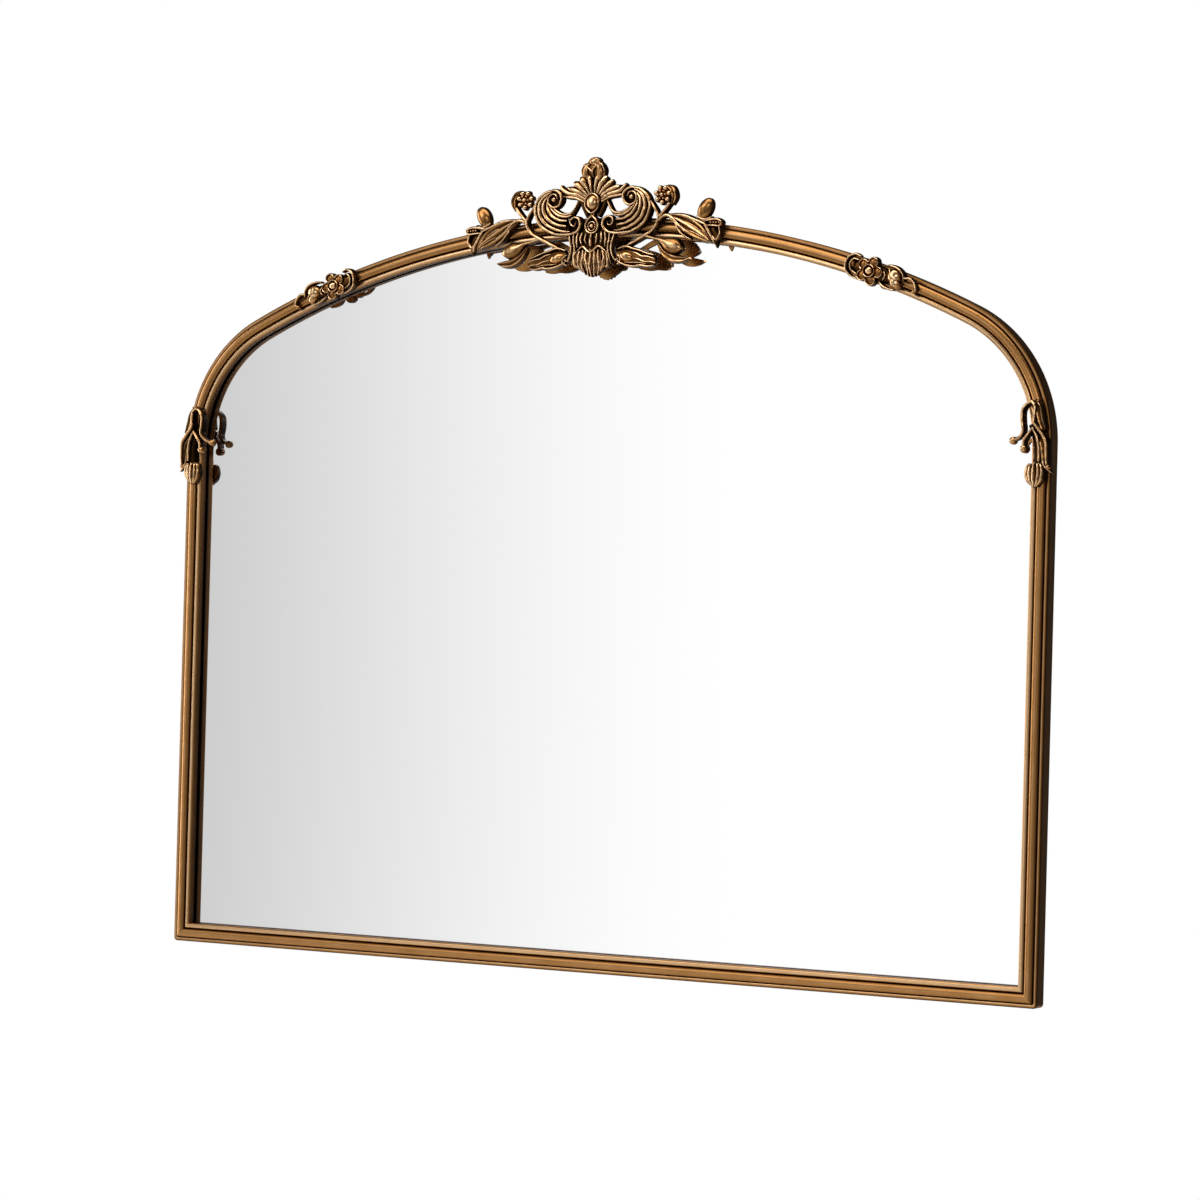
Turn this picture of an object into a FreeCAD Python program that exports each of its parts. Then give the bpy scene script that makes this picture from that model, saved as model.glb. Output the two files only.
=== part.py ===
import FreeCAD, Part
import math
import os
import re

import Sketcher

# An arched overmantel mirror in an antique-gold reeded frame with cast ornament.
# The front faces -Y and +Z is up. The origin is on the bottom face of the frame,
# in the middle of its width and of the moulding's depth.

Vector = FreeCAD.Vector
Placement = FreeCAD.Placement
Y_AXIS = Vector(0, 1, 0)

doc = FreeCAD.newDocument("arched_wall_mirror")
sheet = doc.addObject("Spreadsheet::Sheet", "Sizes")

SIZES = [
    # Frame outline
    ("outer_width", 1016, "frame width over the stiles"),
    ("spring_height", 538, "bottom edge to the springing of the arch"),
    ("shoulder_radius", 150, "outer radius of the arch at its shoulders"),
    ("crown_rise", 82, "crown above the shoulder circles"),
    ("corner_round", 4, "rounding of the bottom corners"),
    # Moulding section, measured from the outer face inwards and from the back forwards
    ("moulding_width", 19.8, "outer face to sight edge"),
    ("frame_depth", 19, "back to the top of the wide reed"),
    ("outer_reed_width", 4.6, "reed along the outer edge"),
    ("outer_reed_base", 15, "height of the outer face"),
    ("outer_groove_width", 0.8, "groove beside the outer reed"),
    ("torus_width", 8.8, "wide reed along the middle"),
    ("groove_floor", 14, "height of both grooves"),
    ("bead_width", 4.4, "bead along the sight edge"),
    ("bead_base", 15.4, "height of the sight edge under its bead"),
    ("rebate_width", 6, "ledge that covers the edge of the glass"),
    # Glass and board in the rebate
    ("glass_thickness", 4, "mirror glass"),
    ("board_thickness", 3, "backing board"),
    ("glass_gap", 1, "play between the glass and the rebate"),
    ("block_length", 40, "setting block"),
    ("block_reach", 300, "setting block from the middle"),
    # Steel points that hold the board
    ("point_room", 1.2, "board below the back of the frame"),
    ("point_thickness", 0.8, "steel point"),
    ("point_width", 10, "along the moulding"),
    ("point_length", 14, "across the moulding"),
    ("point_bite", 5, "length driven into the wood"),
    ("point_fit", 0.02, "gap round a driven point"),
    # Butt joints of the arch
    ("spline_length", 30, "loose spline along a joint"),
    ("spline_width", 8, "across the moulding"),
    ("spline_thickness", 4, "from back to front"),
    ("spline_inset", 7, "middle of a spline from the outer face"),
    ("spline_height", 7, "middle of a spline from the back"),
    ("spline_fit", 0.05, "glue gap round a spline"),
    # Corner braces
    ("brace_arm", 60, "outer length of an arm"),
    ("brace_width", 10, "width of an arm"),
    ("brace_thickness", 1.5, "steel"),
    ("brace_inset", 2, "brace from the outer face"),
    # Hangers
    ("hanger_drop", 50, "ring pivot below the springing"),
    ("hanger_inset", 8.5, "hanger from the outer face"),
    ("strap_width", 11, "steel strap"),
    ("strap_length", 42, "strap below the pivot"),
    ("strap_thickness", 1.2, "steel strap"),
    ("barrel_length", 8, "rolled end of the strap"),
    ("ring_wire", 2.2, "wire diameter of the ring"),
    ("ring_fit", 0.08, "play of the wire in the rolled end"),
    ("ring_width", 10.4, "inside the ring"),
    ("ring_height", 11, "pivot to the middle of the top wire"),
    ("ring_slope", 3, "how far each side of the ring leans in"),
    ("ring_lean", 5, "degrees that the ring leans on the frame at rest"),
    # Wall bumpers
    ("bumper_side", 11, "square rubber bumper"),
    ("bumper_thickness", 6, "frame back to wall"),
    ("bumper_inset", 7, "bumper from the outer face"),
    ("low_bumper_corner", 68, "rail bumper from the outer face of the stile"),
    ("high_bumper_corner", 258, "crown bumper from the outer face of the stile"),
    # Castings
    ("seat_gap", 0.02, "casting off the wide reed"),
    ("crest_width", 306, "crest over its sprays"),
    ("crest_height", 124, "crest from its drop to its bud"),
    ("crest_relief", 10, "crest from back to front"),
    ("rose_corner", 192.5, "rose from the outer face of the stile"),
    ("rose_width", 79, "rose with its leaf and tendril"),
    ("rose_relief", 11, "rose from back to front"),
    ("sprig_height", 84, "sprig from its tip to its bud"),
    ("sprig_relief", 12, "sprig from back to front"),
]

for row, (alias, number, meaning) in enumerate(SIZES, start=1):
    sheet.set("A%d" % row, meaning)
    sheet.set("B%d" % row, str(number))
    sheet.setAlias("B%d" % row, alias)
doc.recompute()

ALIASES = re.compile(r"\b(%s)\b" % "|".join(alias for alias, number, meaning in SIZES))

# Lines that several pieces share, as expressions of the sheet
HALF_WIDTH = "(outer_width / 2)"
BACK = "(frame_depth / 2)"
FRONT = "(-frame_depth / 2)"
TOP = "(spring_height + shoulder_radius + crown_rise)"
SHOULDER_REACH = "(outer_width / 2 - shoulder_radius)"
CROWN_RADIUS = "((%s^2 + 2 * shoulder_radius * crown_rise + crown_rise^2) / (2 * crown_rise))" % SHOULDER_REACH
CROWN_CENTRE = "(%s - %s)" % (TOP, CROWN_RADIUS)
TORUS_INSET = "(outer_reed_width + outer_groove_width + torus_width / 2)"
REBATE_DEPTH = "(glass_thickness + board_thickness + point_room)"
GLASS_INSET = "(moulding_width - rebate_width + glass_gap)"
TANGENT_TURN = "asin(%s / (%s - shoulder_radius))" % (SHOULDER_REACH, CROWN_RADIUS)
ROSE_TURN = "asin((%s - rose_corner) / (%s - %s))" % (HALF_WIDTH, CROWN_RADIUS, TORUS_INSET)

# A reed stands a third of its width above its base: the wide one is an arc, the narrow ones are bevelled
REED_RISE = "/ 3"
REED_RADIUS = "* 13 / 24"


def value(expression):
    """Work out an expression of the sheet."""
    result = sheet.evalExpression(expression)
    return float(getattr(result, "Value", result))


def bind(item, prop, expression):
    """Tie a property of an object to the sheet."""
    item.setExpression(prop, ALIASES.sub(r"Sizes.\1", expression))


def origin_feature(body, role):
    return next(item for item in body.Origin.OriginFeatures if item.Role == role)


def sketch_on(body, plane, offset=None):
    """A sketch on one of the body's own planes, moved along the plane's normal by offset."""
    sketch = body.newObject("Sketcher::SketchObject", body.Label + "_sketch")
    sketch.AttachmentSupport = (origin_feature(body, plane), [""])
    sketch.MapMode = "FlatFace"
    if offset:
        bind(sketch, "AttachmentOffset.Base.z", offset)
    return sketch


def draw(sketch, corners):
    """Draw a closed outline, with its outside on the right, and tie each corner to the sheet.

    A corner is (across, up) or, where an arc leaves it, (across, up, radius, side):
    the arc bulges to the right of the way the outline runs for side 1, to the left for -1.
    """
    points = [Vector(value(corner[0]), value(corner[1]), 0) for corner in corners]
    first = sketch.GeometryCount
    for index, corner in enumerate(corners):
        start = points[index]
        end = points[(index + 1) % len(points)]
        if len(corner) == 2:
            sketch.addGeometry(Part.LineSegment(start, end), False)
            continue
        radius = value(corner[2])
        chord = end - start
        rise = radius - math.sqrt(radius**2 - chord.Length**2 / 4)
        right = Vector(chord.y, -chord.x, 0).normalize()
        middle = (start + end) / 2 + right * rise * corner[3]
        sketch.addGeometry(Part.Arc(start, middle, end), False)
    for index, corner in enumerate(corners):
        edge = first + index
        before = first + (index - 1) % len(corners)
        start = 1 if sketch.getPoint(edge, 1).isEqual(points[index], 1e-6) else 2
        end = 2 if sketch.getPoint(before, 2).isEqual(points[index], 1e-6) else 1
        sketch.addConstraint(Sketcher.Constraint("Coincident", before, end, edge, start))
        for kind, expression in (("DistanceX", corner[0]), ("DistanceY", corner[1])):
            number = sketch.addConstraint(Sketcher.Constraint(kind, edge, start, value(expression)))
            bind(sketch, "Constraints[%d]" % number, expression)
        if len(corner) == 4:
            number = sketch.addConstraint(Sketcher.Constraint("Radius", edge, value(corner[2])))
            bind(sketch, "Constraints[%d]" % number, corner[2])


def new_body(label):
    body = doc.addObject("PartDesign::Body", label)
    body.Label = label
    return body


def pad(body, sketch, length):
    feature = body.newObject("PartDesign::Pad", body.Label + "_pad")
    feature.Profile = sketch
    bind(feature, "Length", length)
    return feature


def pocket(body, sketch, length):
    """Cut away what lies within length of the sketch on both sides."""
    feature = body.newObject("PartDesign::Pocket", body.Label + "_pocket")
    feature.Profile = sketch
    feature.Midplane = True
    bind(feature, "Length", length)
    return feature


def revolve(body, sketch, angle):
    """Turn a sketch about the body's Y axis, from +Z towards +X."""
    feature = body.newObject("PartDesign::Revolution", body.Label + "_turn")
    feature.Profile = sketch
    feature.ReferenceAxis = (origin_feature(body, "Y_Axis"), [""])
    bind(feature, "Angle", angle)
    return feature


def plate(label, corners, back, thickness):
    """A flat piece drawn from the front, with its back face at y = back."""
    body = new_body(label)
    sketch = sketch_on(body, "XZ_Plane", "-(%s)" % back)
    draw(sketch, corners)
    pad(body, sketch, thickness)
    return body


def pair(label, first, second, kind="Part::Fuse"):
    """Join two objects, or cut the second from the first."""
    result = doc.addObject(kind, label)
    result.Label = label
    result.Base = first
    result.Tool = second
    return result


def mirrored(label, source):
    """The left-hand twin of a right-hand piece."""
    twin = doc.addObject("Part::Mirroring", label)
    twin.Label = label
    twin.Source = source
    twin.Normal = Vector(1, 0, 0)
    return twin


def shape_feature(label, shape, place=None):
    feature = doc.addObject("Part::Feature", label)
    feature.Label = label
    feature.Shape = shape
    if place:
        feature.Placement = place
    return feature


# Places on the moulding. Each local frame has +X along the moulding, +Z out of the frame.

def turned(degrees):
    return FreeCAD.Rotation(Y_AXIS, degrees)


def on_rail(across, inset):
    return Placement(Vector(across, 0, inset), turned(180))


def on_stile(up, inset):
    return Placement(Vector(value(HALF_WIDTH) - inset, 0, up), turned(90))


def on_arc(centre_x, centre_z, radius, degrees, inset):
    centre = Vector(centre_x, 0, centre_z)
    return Placement(centre + turned(degrees).multVec(Vector(0, 0, radius - inset)), turned(degrees))


def on_shoulder(degrees, inset):
    return on_arc(value(SHOULDER_REACH), value("spring_height"), value("shoulder_radius"), degrees, inset)


def on_crown(degrees, inset):
    return on_arc(0, value(CROWN_CENTRE), value(CROWN_RADIUS), degrees, inset)


def crown_turn(across, inset):
    return math.degrees(math.asin(across / (value(CROWN_RADIUS) - inset)))


def flipped(place):
    """The same place on the left-hand half."""
    base = place.Base
    angle = place.Rotation.Angle * place.Rotation.Axis.y
    return Placement(Vector(-base.x, base.y, base.z), turned(-math.degrees(angle)))


def both(places):
    return places + [flipped(place) for place in places]


def raised(place, back):
    """The same place moved to y = back."""
    return Placement(Vector(place.Base.x, back, place.Base.z), place.Rotation)


# Frame

def moulding_section(radius):
    """The moulding's section, its outer face up at z = radius, its back at +Y."""
    torus_start = "(outer_reed_width + outer_groove_width)"
    torus_end = "(%s + torus_width)" % torus_start
    torus_base = "(frame_depth - torus_width %s)" % REED_RISE
    outer_top = "(outer_reed_base + outer_reed_width %s)" % REED_RISE
    bead_top = "(bead_base + bead_width %s)" % REED_RISE
    rebate_start = "(moulding_width - rebate_width)"
    section = [
        ("0", "0"),
        ("0", "outer_reed_base"),
        ("outer_reed_width / 4", outer_top),
        ("outer_reed_width * 3 / 4", outer_top),
        (torus_start, "groove_floor"),
        (torus_start, torus_base, "torus_width"),
        (torus_end, torus_base),
        (torus_end, "groove_floor"),
        ("moulding_width - bead_width * 3 / 4", bead_top),
        ("moulding_width - bead_width / 4", bead_top),
        ("moulding_width", "bead_base"),
        ("moulding_width", REBATE_DEPTH),
        (rebate_start, REBATE_DEPTH),
        (rebate_start, "0"),
    ]
    corners = []
    for inset, height, *reed in section:
        corner = ("%s - %s" % (BACK, height), "%s - (%s)" % (radius, inset))
        if reed:
            corner += ("%s %s" % (reed[0], REED_RADIUS), 1)
        corners.append(corner)
    return corners


def mitre_waste(length):
    """What a mitre at x = length removes, with the rounded outer corner."""
    diagonal = "(corner_round * (1 - sqrt(0.5)))"
    return [
        ("%s - moulding_width" % length, "-moulding_width"),
        (length, "-moulding_width"),
        (length, "0"),
        ("%s - corner_round" % length, "0", "corner_round", -1),
        ("%s - %s" % (length, diagonal), "-%s" % diagonal),
    ]


def straight(label, length, place):
    """A straight length of moulding from the local origin along +X, mitred at its far end."""
    body = new_body(label)
    section = sketch_on(body, "YZ_Plane")
    draw(section, moulding_section("0"))
    pad(body, section, length)
    mitre = sketch_on(body, "XZ_Plane")
    draw(mitre, mitre_waste(length))
    pocket(body, mitre, "2 * frame_depth")
    body.Placement = place
    return body


def bent(label, radius, angle, place):
    """A bent length of moulding about the local origin."""
    body = new_body(label)
    section = sketch_on(body, "YZ_Plane")
    draw(section, moulding_section(radius))
    revolve(body, section, angle)
    body.Placement = place
    return body


stile_blank = straight("stile_blank", "spring_height", on_stile(value("spring_height"), 0))
rail_half = straight("rail_half", HALF_WIDTH, Placement(Vector(0, 0, 0), turned(180)))
rail_blank = pair("rail_blank", rail_half, mirrored("rail_other_half", rail_half))
arch_top = bent("arch_top", CROWN_RADIUS, TANGENT_TURN, Placement(Vector(0, 0, value(CROWN_CENTRE)), turned(0)))
arch_bend = bent(
    "arch_bend",
    "shoulder_radius",
    "90 deg - %s" % TANGENT_TURN,
    Placement(Vector(value(SHOULDER_REACH), 0, value("spring_height")), turned(value(TANGENT_TURN))),
)
arch_blank = pair("arch_blank", arch_top, arch_bend)

# Glass, board and the blocks that the glass stands on


def arched_outline(inset):
    """The arch's outline, drawn inset from the frame's outer edge."""
    side = "(%s - %s)" % (HALF_WIDTH, inset)
    slope = "(%s - shoulder_radius)" % CROWN_RADIUS
    tangent_x = "(%s / %s * (%s - %s))" % (SHOULDER_REACH, slope, CROWN_RADIUS, inset)
    tangent_z = "(%s + (spring_height - %s) / %s * (%s - %s))" % (
        CROWN_CENTRE,
        CROWN_CENTRE,
        slope,
        CROWN_RADIUS,
        inset,
    )
    shoulder = "shoulder_radius - %s" % inset
    return [
        ("-%s" % side, inset),
        (side, inset),
        (side, "spring_height", shoulder, 1),
        (tangent_x, tangent_z, "%s - %s" % (CROWN_RADIUS, inset), 1),
        ("-%s" % tangent_x, tangent_z, shoulder, 1),
        ("-%s" % side, "spring_height"),
    ]


board_back = "(%s - point_room)" % BACK
glass_back = "(%s - board_thickness)" % board_back
mirror_glass = plate("mirror_glass", arched_outline(GLASS_INSET), glass_back, "glass_thickness")
backing_board = plate("backing_board", arched_outline(GLASS_INSET), board_back, "board_thickness")


def block(label, sizes):
    item = doc.addObject("Part::Box", label)
    for prop, expression in zip(("Length", "Width", "Height"), sizes):
        bind(item, prop, expression)
    return item


def group(label, items):
    """Identical pieces that share one node."""
    result = doc.addObject("Part::Compound", label)
    result.Label = label
    result.Links = items
    return result


def setting_block(side):
    item = block("setting_block", ("block_length", "glass_thickness + board_thickness", "glass_gap"))
    middle = side * value("block_reach") - value("block_length") / 2
    ledge = value("moulding_width - rebate_width")
    item.Placement.Base = Vector(middle, value("%s - %s" % (BACK, REBATE_DEPTH)), ledge)
    return item


setting_blocks = group("setting_blocks", [setting_block(-1), setting_block(1)])

# Splines across the joints, and steel points over the board

back = value(BACK)
torus_inset = value(TORUS_INSET)
rose_turn = value(ROSE_TURN)
tangent_turn = value(TANGENT_TURN)
spring = value("spring_height")


def bar(label, sizes, place, height):
    """A flat bar centred on a place on the moulding, at a height above the back."""
    item = block(label, sizes)
    length, depth, width = (value(size) for size in sizes)
    corner = Vector(-length / 2, back - value(height) - depth / 2, -width / 2)
    item.Placement = Placement(place.multVec(corner), place.Rotation)
    return item


def grown(sizes, fit):
    return ["%s + 2 * %s" % (size, fit) for size in sizes]


spline_places = both([on_shoulder(90, value("spline_inset"))]) + [on_crown(0, value("spline_inset"))]
SPLINE = ("spline_length", "spline_thickness", "spline_width")
joint_splines = group("joint_splines", [bar("spline", SPLINE, place, "spline_height") for place in spline_places])
spline_slots = group("spline_slots", [
    bar("spline_slot", grown(SPLINE, "spline_fit"), place, "spline_height") for place in spline_places
])

POINT_RAIL_SHARES = (0.4, 0.8)
POINT_STILE_SHARES = (0.22, 0.48, 0.74)
POINT_CROWN_SHARES = (0.2, 0.5, 0.8)
POINT = ("point_width", "point_thickness", "point_length")
POINT_HEIGHT = "point_room - point_thickness / 2"


def point_places():
    """Points spaced along the rail, the stiles, the shoulders and the crown."""
    inset = value("moulding_width - rebate_width - point_bite + point_length / 2")
    places = [on_rail(value(HALF_WIDTH) * share, inset) for share in POINT_RAIL_SHARES]
    places += [on_stile(spring * share, inset) for share in POINT_STILE_SHARES]
    places.append(on_shoulder((tangent_turn + 90) / 2, inset))
    places += [on_crown(tangent_turn * share, inset) for share in POINT_CROWN_SHARES]
    return both(places) + [on_rail(0, inset)]


board_points = group("board_points", [bar("point", POINT, place, POINT_HEIGHT) for place in point_places()])
point_slots = group("point_slots", [
    bar("point_slot", grown(POINT, "point_fit"), place, POINT_HEIGHT) for place in point_places()
])
slots = group("slots", [spline_slots, point_slots])

bottom_rail = pair("bottom_rail", rail_blank, slots, "Part::Cut")
right_stile = pair("right_stile", stile_blank, slots, "Part::Cut")
right_arch = pair("right_arch", arch_blank, slots, "Part::Cut")
left_stile = mirrored("left_stile", right_stile)
left_arch = mirrored("left_arch", right_arch)

# Steel on the back


def brace_outline():
    outer = "(%s - brace_inset)" % HALF_WIDTH
    inner = "(%s - brace_width)" % outer
    end = "(%s - brace_arm)" % outer
    return [
        (outer, "brace_inset"),
        (outer, "brace_inset + brace_arm"),
        (inner, "brace_inset + brace_arm"),
        (inner, "brace_inset + brace_width"),
        (end, "brace_inset + brace_width"),
        (end, "brace_inset"),
    ]


right_brace = plate("right_corner_brace", brace_outline(), "%s + brace_thickness" % BACK, "brace_thickness")
left_brace = mirrored("left_corner_brace", right_brace)

# Hangers: a strap with a rolled end, and a D-ring that swings in it

PIVOT_HEIGHT = "(ring_wire / 2 + ring_fit + strap_thickness)"


def cylinder(label, radius, height, place):
    item = doc.addObject("Part::Cylinder", label)
    bind(item, "Radius", radius)
    bind(item, "Height", height)
    item.Placement = place
    return item


pivot_up = value("spring_height - hanger_drop")


def hanger_pivot(side):
    across = side * (value(HALF_WIDTH) - value("hanger_inset"))
    return Vector(across, back + value(PIVOT_HEIGHT), pivot_up)


def hanger_strap(label, side):
    pivot = hanger_pivot(side)
    strip = block("strap", ("strap_width", "strap_thickness", "strap_length"))
    strip.Placement.Base = Vector(pivot.x - value("strap_width") / 2, back, pivot.z - value("strap_length"))
    neck = block("strap_neck", ("barrel_length", "strap_thickness", "2 * ring_wire"))
    half_barrel = value("barrel_length") / 2
    neck.Placement.Base = Vector(pivot.x - half_barrel, back, pivot.z - value("2 * ring_wire"))
    strip.Placement.Base.z -= value("2 * ring_wire")
    along = Placement(pivot - Vector(half_barrel, 0, 0), turned(90))
    barrel = cylinder("barrel", PIVOT_HEIGHT, "barrel_length", along)
    eye = cylinder("eye", "ring_wire / 2 + ring_fit", "barrel_length", along)
    blank = pair("strap_blank", pair("strap_strip", strip, neck), barrel)
    return pair(label, blank, eye, "Part::Cut")


def hanger_ring(label, side):
    """A D of round wire, bent with sharp corners: its straight bar turns in the strap."""
    wire = value("ring_wire") / 2
    half = value("(ring_width + ring_wire) / 2")
    top = half - value("ring_slope")
    rise = value("ring_height")
    corners = [(0, 0), (half, 0), (top, rise), (-top, rise), (-half, 0), (0, 0)]
    path = Part.makePolygon([Vector(across, 0, up) for across, up in corners])
    circle = Part.Wire([Part.Circle(Vector(0, 0, 0), Vector(1, 0, 0), wire).toShape()])
    solid = path.makePipeShell([circle], True, True, 1)
    lean = FreeCAD.Rotation(Vector(1, 0, 0), value("ring_lean"))
    return shape_feature(label, solid, Placement(hanger_pivot(side), lean))


right_strap = hanger_strap("right_hanger_strap", 1)
left_strap = hanger_strap("left_hanger_strap", -1)
right_ring = hanger_ring("right_hanger_ring", 1)
left_ring = hanger_ring("left_hanger_ring", -1)

bumper_inset = value("bumper_inset")
bumper_places = both([
    on_rail(value("%s - low_bumper_corner" % HALF_WIDTH), bumper_inset),
    on_crown(crown_turn(value("%s - high_bumper_corner" % HALF_WIDTH), bumper_inset), bumper_inset),
])
BUMPER = ("bumper_side", "bumper_thickness", "bumper_side")
wall_bumpers = group("wall_bumpers", [
    bar("bumper", BUMPER, place, "-bumper_thickness / 2") for place in bumper_places
])

# Castings: a flat back and carved forms in front of it, drawn on squares. A ridge is drawn as
# stations along its middle line, each (across, up, half width, height as a share of the relief).
# A boss is (across, up, half width, half length, height share, lean to the right in degrees).

FLAT = 1e-6
EDGE = 0.45
BOSS_SIDES = 8
BOSS_RINGS = ((1, 0), (1, EDGE), (0.5, 1))


def skin(rings):
    """A faceted solid through rings of points, closed by its first and its last ring."""
    faces = [rings[0], rings[-1]]
    for ring, after in zip(rings, rings[1:]):
        for index in range(len(ring)):
            other = index - 1
            corners = [ring[other], ring[index], after[index], after[other]]
            normal = (corners[1] - corners[0]).cross(corners[2] - corners[0])
            if abs(normal.dot(corners[3] - corners[0])) < FLAT * normal.Length:
                faces.append(corners)
            else:
                faces += [corners[:3], corners[2:] + corners[:1]]
    shell = Part.makeShell([Part.Face(Part.makePolygon(face + face[:1])) for face in faces])
    shell.sewShape()
    solid = Part.makeSolid(shell)
    if solid.Volume < 0:
        solid.reverse()
    return solid


def ridge(stations, relief, wide, tall):
    """A leaf or a stem: upright edges, and slopes that meet along its middle line."""
    middles = [Vector(station[0] * wide, 0, station[1] * tall) for station in stations]
    rings = []
    for index, (across, up, half, height) in enumerate(stations):
        ahead = middles[min(index + 1, len(middles) - 1)] - middles[max(index - 1, 0)]
        outward = Vector(-ahead.z, 0, ahead.x).normalize() * half * (wide + tall) / 2
        crown = Y_AXIS * -height * relief
        near = middles[index] - outward
        far = middles[index] + outward
        rings.append([near, near + crown * EDGE, middles[index] + crown, far + crown * EDGE, far])
    return skin(rings)


def boss(form, relief, wide, tall):
    """A bud, petal or eye with a rounded top."""
    across, up, half, long_half, height, lean = form
    rings = []
    for share, level in BOSS_RINGS:
        ring = []
        for side in range(BOSS_SIDES):
            angle = 2 * math.pi * side / BOSS_SIDES
            offset = Vector(half * share * math.cos(angle), 0, long_half * share * math.sin(angle))
            offset = turned(lean).multVec(offset)
            ring.append(Vector((across + offset.x) * wide, -level * height * relief, (up + offset.z) * tall))
        rings.append(ring)
    return skin(rings)


def casting(ridges, bosses, relief, wide, tall):
    """One solid of all its forms; wide and tall are the sizes of a square of their drawing."""
    solids = [ridge(form, relief, wide, tall) for form in ridges]
    solids += [boss(form, relief, wide, tall) for form in bosses]
    return solids[0].multiFuse(solids[1:]).removeSplitter()


MEDALLION = (0, 14, 9, 10.5, 0.98, 0)
ROSEBUD = [(0, 52.5, 9.5, 9.5, 0.62, 0), (8, 46, 7, 9.5, 0.55, 0), (-8, 46, 7, 9.5, 0.55, 0)]
PENDANT = (0, -9.5, 6.8, 7.8, 0.8, 0)
STEM = [(0, 6, 2.6, 0.6), (0, 0, 2.4, 0.6), (0, -5, 2.2, 0.6)]
PALMETTE = [
    [(1.5, 22, 1.6, 0.5), (3, 33, 2.6, 0.62), (4.2, 40, 3, 0.6), (4.6, 43, 1.5, 0.5)],
    [(3.5, 22, 1.6, 0.5), (8, 33, 2.8, 0.65), (12, 39, 3.6, 0.62), (14, 42, 2, 0.5)],
    [(5, 21, 1.6, 0.5), (12, 30, 2.6, 0.62), (18.5, 35.5, 3.4, 0.6), (22, 38, 2, 0.45)],
    [(6, 19, 1.6, 0.5), (16, 26.5, 2.6, 0.6), (25, 30, 3.2, 0.58), (30, 31.5, 1.8, 0.45)],
    [(7, 16, 2, 0.5), (19, 21.5, 3, 0.6), (30, 24, 3.4, 0.6), (36, 28, 3.2, 0.6), (38.5, 32, 2.4, 0.5)],
]
STRUTS = [
    [(13, 18, 2, 0.5), (18.5, 9, 2.2, 0.5), (23.5, 1, 2.2, 0.5)],
    [(10, 14, 2.2, 0.5), (9, 7, 2.2, 0.5), (6, -2, 2.2, 0.5), (3, -8, 2, 0.5)],
    [(23.5, 1.5, 2.2, 0.5), (32, 1, 2.8, 0.6), (41, 4.5, 3.2, 0.7), (48, 10, 3, 0.7)],
]
C_SCROLL = [
    [
        (43, 27.5, 2.2, 0.55), (53, 25, 4.6, 0.75), (59.5, 12, 7.8, 0.95), (54, -3, 7.6, 0.95),
        (40, -10.5, 5.8, 0.8), (23, -13, 3.2, 0.65), (14.5, -9, 2.5, 0.6), (16, -0.5, 2.2, 0.58),
        (21, 0, 2, 0.55),
    ],
    [
        (45, 27.5, 2, 0.55), (39.5, 25, 2.2, 0.6), (37, 20, 2.2, 0.6), (39, 14.5, 2.2, 0.6),
        (44, 12, 2.2, 0.6), (50, 13.5, 2.2, 0.6),
    ],
]
SCROLL_EYES = [(21.5, -5.5, 4.5, 5, 0.6, 0), (45, 19.5, 5.2, 5.4, 0.65, 0)]
FLUTED_LEAF = [
    (0, -13, 21, 0.6), (0, -20, 27, 0.8), (0, -28, 25, 0.9), (0, -37, 26.5, 0.95),
    (0, -43, 27.5, 0.9), (0, -51, 19, 0.8), (0, -57.5, 8.5, 0.65), (0, -61.5, 2.2, 0.45),
]
FLUTES = [-0.78, -0.52, -0.26, 0, 0.26, 0.52, 0.78]
SIDE_LEAVES = [
    [(20, -31, 3, 0.6), (40, -32.5, 4.2, 0.75), (56, -38, 4.6, 0.7), (68, -42.5, 3.4, 0.6), (74, -44.5, 1.2, 0.45)],
    [(20, -40, 3, 0.6), (42, -43, 5, 0.75), (58, -47, 4.4, 0.7), (70, -51.5, 2.6, 0.55), (73.5, -53, 1.2, 0.45)],
]
SPRAY = [
    [
        (36, -32, 2, 0.5), (48, -28, 2, 0.5), (58, -23.5, 2, 0.5), (66, -20, 2.2, 0.55),
        (73, -13, 2.2, 0.55), (77, -6, 2.2, 0.55), (80, 2, 2.4, 0.55),
    ],
    [(80, 0, 2.2, 0.5), (74, 7, 2, 0.5), (66, 14, 2, 0.5)],
    [(79, -1, 2.2, 0.5), (86, 7, 2.2, 0.5), (89, 15, 2.4, 0.5)],
    [
        (65, -20, 2, 0.5), (78, -24, 2, 0.5), (88, -25.5, 3.2, 0.6), (97, -26.5, 5.2, 0.75),
        (103, -27.5, 4, 0.65), (107, -28, 1.5, 0.45),
    ],
    [(78, -23, 1.8, 0.45), (89, -34, 3.6, 0.6), (101, -41, 4.2, 0.62), (110, -43.8, 3, 0.5), (115, -44.5, 1, 0.4)],
    [(75, -8, 2, 0.5), (84, -2, 2, 0.55), (91, -3, 2.2, 0.6), (98, -11, 2.4, 0.6), (106, -19, 2.4, 0.6)],
    [
        (90, -2, 3.5, 0.55), (103, -6, 8.5, 0.7), (115, -11, 11, 0.75), (126, -17, 10, 0.7),
        (134, -24, 6, 0.55), (138, -29, 1.5, 0.4),
    ],
    [
        (128, -10, 3.2, 0.55), (135, -15.5, 5.5, 0.65), (140.5, -23, 5, 0.6), (143, -30, 2.5, 0.5),
        (143.5, -35.5, 0.8, 0.4),
    ],
]
SPRAY_BUDS = [(81, 20, 9.8, 9.8, 0.75, 0), (130, 3, 7.6, 13, 0.75, 30), (143.5, -10.5, 4.4, 9, 0.7, 95)]


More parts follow.
